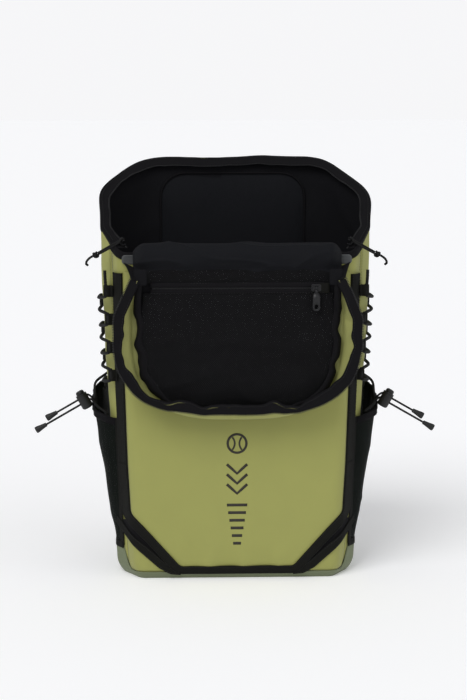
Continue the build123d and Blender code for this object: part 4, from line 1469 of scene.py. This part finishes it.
def fold_band():
    """The cloth that hinges the lid: up from the front wall, over, and down to the lid's lining."""
    profile = smooth_path([(0, y, z) for y, z in FOLD_PROFILE], 1.2)
    rows = []
    for k, p in enumerate(profile):
        f = k / (len(profile) - 1)
        row = []
        for g in steps(-1, 1, 190):
            x = FOLD_HALF * g
            q = Vector((x * 0.4, p.y, p.z))
            drape = p.z - 415 + 9.0 * (1 - (x / 90.0) ** 2 if abs(x) < 90 else 0.0)
            crease = creases(Vector((x * 0.3, p.y * 0.6, drape)), 22, 92)
            fold = (1.3 * rough(q, 24, 91) + 2.4 * crease) * dome(f, 6)
            away = Vector((0, p.y + 106, p.z - 414)).normalized()
            pinch = max(0.0, (abs(x) - FOLD_HALF + 16) / 16) ** 2.2
            draped = Vector((x, p.y, p.z)) + away * (fold - 1.4)
            pinched = Vector((x, -86.5 - 18 * max(0.0, f - 0.75) * 4, min(p.z, 424) * 0.5 + 207))
            row.append(draped.lerp(pinched, 0.75 * pinch))
        rows.append(row)
    Shape().grid(rows).make("lid_fold_cloth", FOLD, "pack", replaces=("lid_fold",), thick=1.0, solid=False,
                            blend=("pack", "lid", (0, -0.100, 0.434), (0, -0.119, 0.414)))


fold_band()

# ---- main zip sliders and their cord pulls ----

(BX0, BY0), (BX1, BY1) = mouth_corners(0, 0)[:2]
BEVEL_RUN = Vector((BX1 - BX0, BY1 - BY0)).normalized()
FOOT = Vector((BX0, BY0)) + BEVEL_RUN * 17 + Vector((-BEVEL_RUN.y, BEVEL_RUN.x)) * (TAPE_INSET + COIL / 2)
SLIDER_X = (rim_point(BEVEL_RUN.x, BEVEL_RUN.y) - rim_point(0, 0)).normalized()
SLIDER_Y = RIM_OUT.cross(SLIDER_X)
BAR = rim_point(FOOT.x, FOOT.y, 0.7 + 5.6)
DROOP = radians(15)
PULL_WAY = -(SLIDER_Y * cos(DROOP)) - RIM_OUT * sin(DROOP)


def cord_pull(side, sign):
    """A doubled cord through the slider, knotted, with a curled end."""
    shape = Shape()
    up = PULL_WAY.cross(SLIDER_X).normalized()
    if up.z < 0:
        up = -up

    def at(way, rise, across=0.0):
        return BAR + PULL_WAY * way + up * rise + SLIDER_X * across

    for bend in (-1, 1):
        path = smooth_path([BAR - PULL_WAY * 1.9 * (bend > 0), BAR + up * 2.2 + PULL_WAY * 1.5,
                            at(7, 0, 1.3 * bend), at(20, 0, 1.5 * bend), at(36, 0, 1.3 * bend)], 0.9)
        shape.sweep(mirrored(path, sign), braided(PULL_RADIUS, 10))
    knot = []
    for k in range(90):
        a = 2 * pi * k / 90
        r = 2.5 + 0.7 * cos(3 * a)
        middle = BAR + PULL_WAY * (39.5 + 2.3 * sin(3 * a))
        knot.append(middle + SLIDER_X * (r * cos(2 * a)) + up * (r * sin(2 * a)))
    shape.sweep(mirrored(knot, sign), braided(PULL_RADIUS, 8), closed=True)
    tail = smooth_path([at(39, 0), at(46, 0.8), at(52, -1.0), at(55, -5.0), at(54, -9.0)], 0.9)
    shape.sweep(mirrored(tail, sign), braided(1.5, 10))
    shape.make(f"cord_pull_braid_{side}", CORD, f"cord_pull_{side}", replaces=(f"cord_pull_{side}",))


for side, sign in SIDES:
    cord_pull(side, sign)
    paint(f"mouth_slider_{side}", PAINTED)

# ---- padded back: stuffed shapes, settled with a cloth simulation ----

BACK_FACE = HALF_DEPTH + 0.5
PAD_VOXEL = 3.6
PAD_FRAMES = 20               # how long the inflating cloth is left to settle
PAD_SIDEWAYS = 0.25           # how much of a pad's movement along its own plane is kept
CLOTH_SETTINGS = {"quality": 5, "mass": 0.15, "tension_stiffness": 12, "compression_stiffness": 12,
                  "shear_stiffness": 5, "bending_stiffness": 0.5, "use_pressure": True,
                  "uniform_pressure_force": 4}
STUFFED = []


def power_round(angle, power):
    """A place on a square with rounded corners; the smaller the power, the squarer."""
    c, s = cos(angle), sin(angle)
    return (abs(c) ** power * (1 if c >= 0 else -1), abs(s) ** power * (1 if s >= 0 else -1))


def pad_tube(levels, place, thickness, sides=36, ends=6.0, square=0.32):
    """A closed pad. levels are (x0, x1, z) up its length; place(x, z, out) puts a point in space."""
    rows = []
    count = len(levels)
    for k, (x0, x1, z) in enumerate(levels):
        near = min(k, count - 1 - k) / ends
        flat = (1 - (1 - min(1.0, near)) ** 2) ** 0.5
        row = []
        for a in range(sides):
            c, s = power_round(2 * pi * a / sides, square)
            row.append(place((x0 + x1) / 2 + c * (x1 - x0) / 2, z, s * thickness / 2 * max(0.12, flat)))
        rows.append(row)
    return Shape().grid(rows, closed=True, caps=True)


def slab_levels(x0, x1, z0, z1, radius, count):
    """The levels of a pad with rounded corners."""
    levels = []
    for z in steps(z0, z1, count):
        edge = min(z - z0, z1 - z)
        cut = radius - sqrt(max(0.0, radius ** 2 - max(0.0, radius - edge) ** 2))
        levels.append((x0 + cut * 0.98, x1 - cut * 0.98, z))
    return levels


def stuff(piece, cap, channel=None):
    """Marks a pad to be remeshed and puffed up; channel(p) says how deep a sewn line runs at p, in mm."""
    STUFFED.append((piece, cap, channel))


def inflate(piece):
    """Adds the cloth simulation that puffs a pad up."""
    cloth = piece.modifiers.new("cloth", "CLOTH")
    for key, value in CLOTH_SETTINGS.items():
        setattr(cloth.settings, key, value)
    cloth.settings.effector_weights.gravity = 0
    cloth.point_cache.frame_start = 1
    cloth.point_cache.frame_end = PAD_FRAMES


def keep_inflated(piece, before, cap):
    """Applies the simulated shape, held back along the pad's plane and to cap mm in all."""
    after = [v.co.copy() for v in evaluated(piece).data.vertices]
    piece.modifiers.clear()
    for vertex, old, new in zip(piece.data.vertices, before, after):
        move = new - old
        move.x *= PAD_SIDEWAYS
        move.z *= PAD_SIDEWAYS
        if move.length > cap * MM:
            move = move.normalized() * cap * MM
        vertex.co = old + move


def press_lines(piece, channel):
    """Presses a pad's sewn lines in, and gives its cloth a few creases."""
    normals = [v.normal.copy() for v in piece.data.vertices]
    for vertex, normal in zip(piece.data.vertices, normals):
        p = vertex.co / MM
        depth = channel(p) if channel else 0.0
        depth += 0.35 * rough(p, 18, 17) + 0.5 * creases(p, 60, 18)
        vertex.co -= normal * (depth * MM)


def settle_pads():
    """Remeshes every marked pad evenly, inflates it as sewn cloth, then presses its sewn lines in."""
    waiting = []
    for piece, cap, channel in STUFFED:
        even = piece.modifiers.new("even", "REMESH")
        even.mode = "VOXEL"
        even.voxel_size = PAD_VOXEL * MM
        apply_modifiers(piece)
        waiting.append((piece, cap, channel, [v.co.copy() for v in piece.data.vertices]))
        inflate(piece)
    for number in range(1, PAD_FRAMES + 1):
        scene.frame_set(number)
    for piece, cap, channel, before in waiting:
        keep_inflated(piece, before, cap)
        piece.data.update()
        press_lines(piece, channel)
        for face in piece.data.polygons:
            face.use_smooth = True
        soft = piece.modifiers.new("soft", "SUBSURF")
        soft.levels = soft.render_levels = 1
    scene.frame_set(1)


def evaluated(piece):
    return piece.evaluated_get(bpy.context.evaluated_depsgraph_get())


def apply_modifiers(piece):
    made = bpy.data.meshes.new_from_object(evaluated(piece))
    piece.modifiers.clear()
    piece.data = made


def groove(value, at, width, depth):
    """A smooth valley of that depth and width."""
    return depth * exp(-((value - at) / width) ** 2)


def piping(name, line, body, up, radius=1.9):
    """A round bound edge along a closed line."""
    Shape().sweep(line, lambda k: round_profile(radius), up=up, closed=True).make(
        name, BLACK_TAPE, body)


def rounded_line(x0, x1, z0, z1, radius, y):
    """A closed rounded rectangle at depth y, for piping."""
    return spread([Vector((p.x, y, p.y)) for p in rounded_rect(x0, x1, z0, z1, radius, line=12)], 1.2)[:-1]


def back_pads():
    """Two tall cushions with slanting sewn lines, and one across the waist, each edged with piping."""
    def back_place(x, z, out):
        return Vector((x, BACK_FACE + 5.5 + out, z))

    def slanting(p):
        if p.y < outer_face:
            return 0.0
        return sum(groove(p.z - 0.5 * p.x, at, 4.0, 4.6) for at in (186, 239, 292, 345, 398, 451))

    def upright(p):
        if p.y < outer_face:
            return 0.0
        return groove(p.x, -26, 4, 4.4) + groove(p.x, 26, 4, 4.4)

    piping_y = BACK_FACE + 4.5
    outer_face = BACK_FACE + 6    # only the cushions' far face takes sewn lines
    for side, sign in SIDES:
        x0, x1 = sorted((sign * 13.0, sign * 73.0))
        pad = pad_tube(slab_levels(x0, x1, 138, 454, 20, 80), back_place, 9.5)
        piece = pad.make(f"back_cushion_{side}", FOAM, "pack", replaces=(f"back_pad_{side}",))
        stuff(piece, 3.0, slanting)
        line = rounded_line(x0 + 0.2, x1 - 0.2, 138.2, 453.8, 20, piping_y)
        piping(f"back_cushion_piping_{side}", line, "pack", lambda k: BACKWARD)
    pad = pad_tube(slab_levels(-74, 74, 47, 121, 22, 40), back_place, 9.5)
    piece = pad.make("lumbar_cushion", FOAM, "pack", replaces=("lumbar_pad",))
    stuff(piece, 3.0, upright)
    piping("lumbar_piping", rounded_line(-73.8, 73.8, 47.2, 120.0, 22, piping_y), "pack", lambda k: BACKWARD)


back_pads()

# ---- shoulder straps, with their ladder locks' webbing ----

STRAP_FOOT, STRAP_TOP = 190, 505
STRAP_ROWS = 90
STRAP_INNER = [(38, 506), (44, 440), (50, 390), (52, 330), (62, 270), (80, 215), (92, 190)]
STRAP_OUTER = [(94, 506), (98, 450), (108, 390), (112, 330), (116, 280), (120, 225), (122, 190)]
STRAP_BOW = [(92.4, 506), (100, 490), (107, 450), (110, 390), (110, 320), (107, 250), (104, 190)]
STRAP_TAIL = [(117, 73.0, 42), (116, 74.6, 56), (112, 83.5, 88), (108, 95.6, 126), (107, 100.2, 157),
              (107, 100.8, 170), (107, 103.9, 176.6), (107, 107.2, 170), (107.5, 108.4, 150),
              (109, 109.3, 122), (111, 109.4, 96), (113.5, 109.0, 70)]


def curve_at(points, z):
    """The first value at height z of a smooth line through (value, z) points."""
    dense = smooth_path([(value, 0, height) for value, height in points], 2.0)
    for a, b in zip(dense, dense[1:]):
        if min(a.z, b.z) <= z <= max(a.z, b.z) and a.z != b.z:
            return a.x + (b.x - a.x) * (z - a.z) / (b.z - a.z)
    return dense[0].x if z >= dense[0].z else dense[-1].x


def webbing_band(name, points, width, body, up, replaces=(), closed=False, thick=1.5, sewn=True):
    """Webbing along a smooth line, sewn down along both edges. up(path, k) is the way it faces."""
    path = smooth_path(points, 0.9, closed=closed)
    shape = Shape().sweep(path, flat_webbing(width, thick, 0.14), up=lambda k: up(path, k), closed=closed)
    shape.make(name, WEBBING, body, replaces=replaces)
    for side in (-1, 1) if sewn else ():
        row = []
        for k in range(2, len(path) - 2, 4):
            ahead = (path[k + 1] - path[k - 1]).normalized()
            facing = up(path, k)
            row.append(path[k] + ahead.cross(facing).normalized() * (side * (width / 2 - 1.8))
                       + facing * (thick / 2 + 0.2))
        stitch(row, body)


def backward(path, k):
    """Straight out from a ribbon that lies across X."""
    a, b = path[max(k - 1, 0)], path[min(k + 1, len(path) - 1)]
    ahead = b - a
    out = Vector((0, -ahead.z, ahead.y))
    return (out if out.y > 0 else -out).normalized()


def shoulder_strap(side, sign):
    """A strap's cushion and piping, the rail and head sewn on it, and the webbing below it."""
    heights = steps(STRAP_FOOT, STRAP_TOP, STRAP_ROWS)
    last = STRAP_ROWS - 1
    inner = [curve_at(STRAP_INNER, z) for z in heights]
    outer = [curve_at(STRAP_OUTER, z) for z in heights]
    bow = [curve_at(STRAP_BOW, z) for z in heights]
    pairs = [(max(k - 1, 0), min(k + 1, last)) for k in range(STRAP_ROWS)]
    lean = [(bow[high] - bow[low]) / (heights[high] - heights[low]) for low, high in pairs]

    def place(x, z, out):
        k = min(last, max(0, round((z - STRAP_FOOT) / (STRAP_TOP - STRAP_FOOT) * last)))
        along = Vector((0, 1, -lean[k])).normalized()
        return Vector((x * sign, bow[k], z)) + along * out

    body = f"shoulder_strap_{side}"
    pad = pad_tube(list(zip(inner, outer, heights)), place, 6.2, ends=3.0)
    piece = pad.make(f"strap_cushion_{side}", FOAM, body, replaces=(body,))
    stuff(piece, 1.0, lambda p: groove(p.z % 52.0, 26.0, 3.4, 1.6) * (p.z < 470))
    rim = [place(x - 0.7, z, 0) for x, z in zip(outer, heights)]
    rim += [place(x + 0.7, z, 0) for x, z in zip(reversed(inner), reversed(heights))]
    rim = spread(rim + [rim[0]], 1.5)[:-1]
    piping(f"strap_piping_{side}", rim, body, lambda k: Vector((0, 1, 0.01)), radius=2.3)
    rail = [((a + b) / 2, y + 4.4, z) for a, b, y, z in zip(inner, outer, bow, heights)][8:-14:6]
    webbing_band(f"strap_rail_{side}", [(x * sign, y, z) for x, y, z in rail], 20, body, backward)
    head = [(x * sign, bow[-5] + 4.6, 499) for x in steps(inner[-5] + 0.5, outer[-5] - 0.5, 8)]
    webbing_band(f"strap_head_{side}", head, 13, body, lambda path, k: BACKWARD)
    loop_y, loop_z = 104, 186
    loop = [(107.0 * sign, loop_y + 3.0 * sin(a), loop_z + 3.6 * cos(a))
            for a in steps(0, 2 * pi * 11 / 12, 12)]
    webbing_band(f"strap_loop_{side}", loop, 24, body,
                 lambda path, k: Vector((0, path[k].y - loop_y, path[k].z - loop_z)), closed=True, thick=1.2,
                 sewn=False)
    tail = [(x * sign, y, z) for x, y, z in STRAP_TAIL]
    webbing_band(f"strap_tail_{side}", tail, 24, body, ribbon_out(sign), replaces=(f"strap_webbing_{side}",))
    paint(f"ladder_lock_{side}", PLASTIC)


def ribbon_out(sign):
    """How the strap's webbing faces; it twists towards its anchor flap near the foot."""
    def up(path, k):
        a, b = path[max(k - 1, 0)], path[min(k + 1, len(path) - 1)]
        ahead = (b - a).normalized()
        turned = 0.75 * max(0.0, min(1.0, (110.0 - path[k].z) / 50.0)) * (path[k].y < 100)
        across = Vector((1, -sign * turned, 0))
        across = across - ahead * ahead.dot(across)
        return ahead.cross(across).normalized()
    return up


for side, sign in SIDES:
    shoulder_strap(side, sign)

settle_pads()


def box_stitch(x0, x1, z0, z1, y, body):
    """A sewn box with a cross in it."""
    corners = [Vector((x0, y, z0)), Vector((x1, y, z0)), Vector((x1, y, z1)), Vector((x0, y, z1))]
    for a, b in ((0, 1), (1, 2), (2, 3), (3, 0), (0, 2), (1, 3)):
        stitch([corners[a], corners[b]], body)


FLAP_TURN = 98.0              # past this the flap follows the bag's back bevel


def anchor_flap(side, sign):
    """The bag's cloth ear that holds the lower end of a strap."""
    corners = [Vector((sign * x, z)) for x, z in ((102.0, 33.0), (142.0, 21.0), (140.0, 60.0), (110.0, 54.0))]
    if sign < 0:
        corners = corners[::-1]
    outline = rounded(corners, [3, 3, 3, 3], (14,) * 4)

    def place(x, z, out):
        past = max(0.0, abs(x) - FLAP_TURN) * 0.7
        across = min(abs(x), FLAP_TURN) + past + out * 0.7
        return Vector((sign * across, BACK_FACE + 0.6 + out * 0.7 - past * 1.03, z))

    rows = pad_sheet(outline, (sign * 122, 40), place, 2.4, rings=8, power=8)
    Shape().grid(rows, closed=True).make(f"anchor_flap_{side}", OLIVE, "pack",
                                         replaces=(f"strap_anchor_{side}",), solid=False, flip=True)
    inner = [place(p.x * 0.9 + sign * 12.2, p.y * 0.9 + 4, 2.6) for p in outline]
    stitch(inner + [inner[0]], "pack", colour="thread_olive")


STERNUM_Y = 117.0


def sternum(side, sign):
    """Half of the chest strap, with its keeper on the strap's rail."""
    run = ((90, 392), (70, 392), (57, 391), (49, 384), (42, 367), (36.5, 350))
    line = [Vector((x, STERNUM_Y, z)) for x, z in run]
    body = f"sternum_strap_{side}"
    shape = Shape().sweep(mirrored(smooth_path(line, 0.9), sign), flat_webbing(16, 1.5, 0.14),
                          up=lambda k: BACKWARD)
    shape.make(f"sternum_webbing_{side}", WEBBING, body, replaces=(body,))
    keeper = rounded_rect(-11, 11, -9.5, 9.5, 3, line=6)
    rows = [[Vector((sign * 80 + p.x * scale, STERNUM_Y + 0.6 + out, 392 + p.y * scale)) for p in keeper]
            for scale, out in ((1.0, -1.6), (1.0, 0.4), (0.93, 1.1), (0.5, 1.3), (0.0, 1.3))]
    Shape().grid(rows, closed=True).make(f"sternum_keeper_{side}", PLASTIC, body, solid=False, flip=True)
    box_stitch(sign * 54 - 5, sign * 54 + 5, 386, 396, STERNUM_Y + 0.8, body)


for side, sign in SIDES:
    anchor_flap(side, sign)
    sternum(side, sign)
paint("buckle_male", PLASTIC)
paint("buckle_female", PLASTIC)


def yoke():
    """The padded cloth across the top of the back, over the straps' heads."""
    def place(x, z, out):
        return Vector((x, BACK_FACE + out + 0.4 * rough((x, 0, z), 30, 7), z))

    rows = pad_sheet(rounded_rect(-74, 74, 464, 508, 12, line=20), (0, 486), place, 3.6, rings=12, power=14)
    Shape().grid(rows, closed=True).make("yoke_cloth", OLIVE, "pack", replaces=("yoke",), solid=False,
                                         flip=True)
    line = rounded_rect(-70, 70, 468, 504, 9, line=20)
    stitch([Vector((p.x, BACK_FACE + 4.0, p.y)) for p in line + line[:1]], "pack", colour="thread_olive")


def carry_handle():
    """The webbing loop behind the mouth."""
    half = [(31, 498), (31, 507), (29, 515), (22, 519), (10, 519.5)]
    path = [(x, HANDLE_Y, z) for x, z in half + [(-x, z) for x, z in reversed(half)]]
    webbing_band("carry_handle", path, 10, "carry_loop", lambda path, k: BACKWARD, replaces=("carry_loop",),
                 thick=2.4)


HANDLE_Y = 88.9
yoke()
carry_handle()

# ---- threads ----

for (body, colour), shape in THREADS.items():
    shape.make(f"{colour}_{body}", THREAD_OLIVE if colour == "thread_olive" else THREAD, body,
               slot="webbing")

# ---- light, floor, camera ----

TARGET = Vector((-0.0015, 0.0, 0.286))
DISTANCE = 2.5
ELEVATION = radians(8)
AZIMUTH = radians(2)

WORLD_LIGHT = 0.45
PAPER = 0.925                 # how bright the paper looks, linear


def studio_world():
    """Even light from all round; the camera itself sees plain pale paper."""
    world = bpy.data.worlds.new("studio")
    scene.world = world
    world.use_nodes = True
    tree = world.node_tree
    glow = tree.nodes["Background"]
    glow.inputs["Color"].default_value = (0.97, 0.98, 1.0, 1)
    glow.inputs["Strength"].default_value = WORLD_LIGHT
    paper = tree.nodes.new("ShaderNodeBackground")
    paper.inputs["Color"].default_value = (PAPER, PAPER, PAPER * 1.015, 1)
    rays = tree.nodes.new("ShaderNodeLightPath")
    choose = tree.nodes.new("ShaderNodeMixShader")
    tree.links.new(rays.outputs["Is Camera Ray"], choose.inputs[0])
    tree.links.new(glow.outputs[0], choose.inputs[1])
    tree.links.new(paper.outputs[0], choose.inputs[2])
    tree.links.new(choose.outputs[0], tree.nodes["World Output"].inputs["Surface"])


studio_world()


def soft_sun(name, place, strength, spread_angle):
    """A sun that shines from place towards the bag, with soft shadows."""
    lamp = bpy.data.lights.new(name, "SUN")
    lamp.energy = strength
    lamp.angle = radians(spread_angle)
    holder = bpy.data.objects.new(name, lamp)
    holder.rotation_euler = (-Vector(place)).to_track_quat("-Z", "Y").to_euler()
    scene.collection.objects.link(holder)


soft_sun("key", (-0.75, -1.3, 1.5), 1.5, 35)
soft_sun("fill", (1.3, -1.2, 0.9), 0.45, 60)


def paper_floor():
    """A large pale sheet to stand on."""
    mesh = bpy.data.meshes.new("floor")
    mesh.from_pydata([(-30, -30, 0), (30, -30, 0), (30, 30, 0), (-30, 30, 0)], [], [(0, 1, 2, 3)])
    look = bpy.data.materials.new("paper")
    look.use_nodes = True
    inputs = look.node_tree.nodes["Principled BSDF"].inputs
    inputs["Base Color"].default_value = (0.99, 0.99, 1.0, 1)
    inputs["Roughness"].default_value = 0.9
    inputs["Emission Color"].default_value = (1, 1, 1, 1)
    inputs["Emission Strength"].default_value = 0.13
    mesh.materials.append(look)
    floor = bpy.data.objects.new("floor", mesh)
    scene.collection.objects.link(floor)


paper_floor()

camera = bpy.data.objects.new("camera", bpy.data.cameras.new("camera"))
camera.data.lens = 98.0
side_step = Vector((-sin(AZIMUTH), -cos(AZIMUTH), 0)) * cos(ELEVATION)
camera.location = TARGET + (side_step + Vector((0, 0, sin(ELEVATION)))) * DISTANCE
camera.rotation_euler = (TARGET - camera.location).to_track_quat("-Z", "Y").to_euler()
scene.collection.objects.link(camera)
scene.camera = camera
scene.view_settings.view_transform = "Standard"
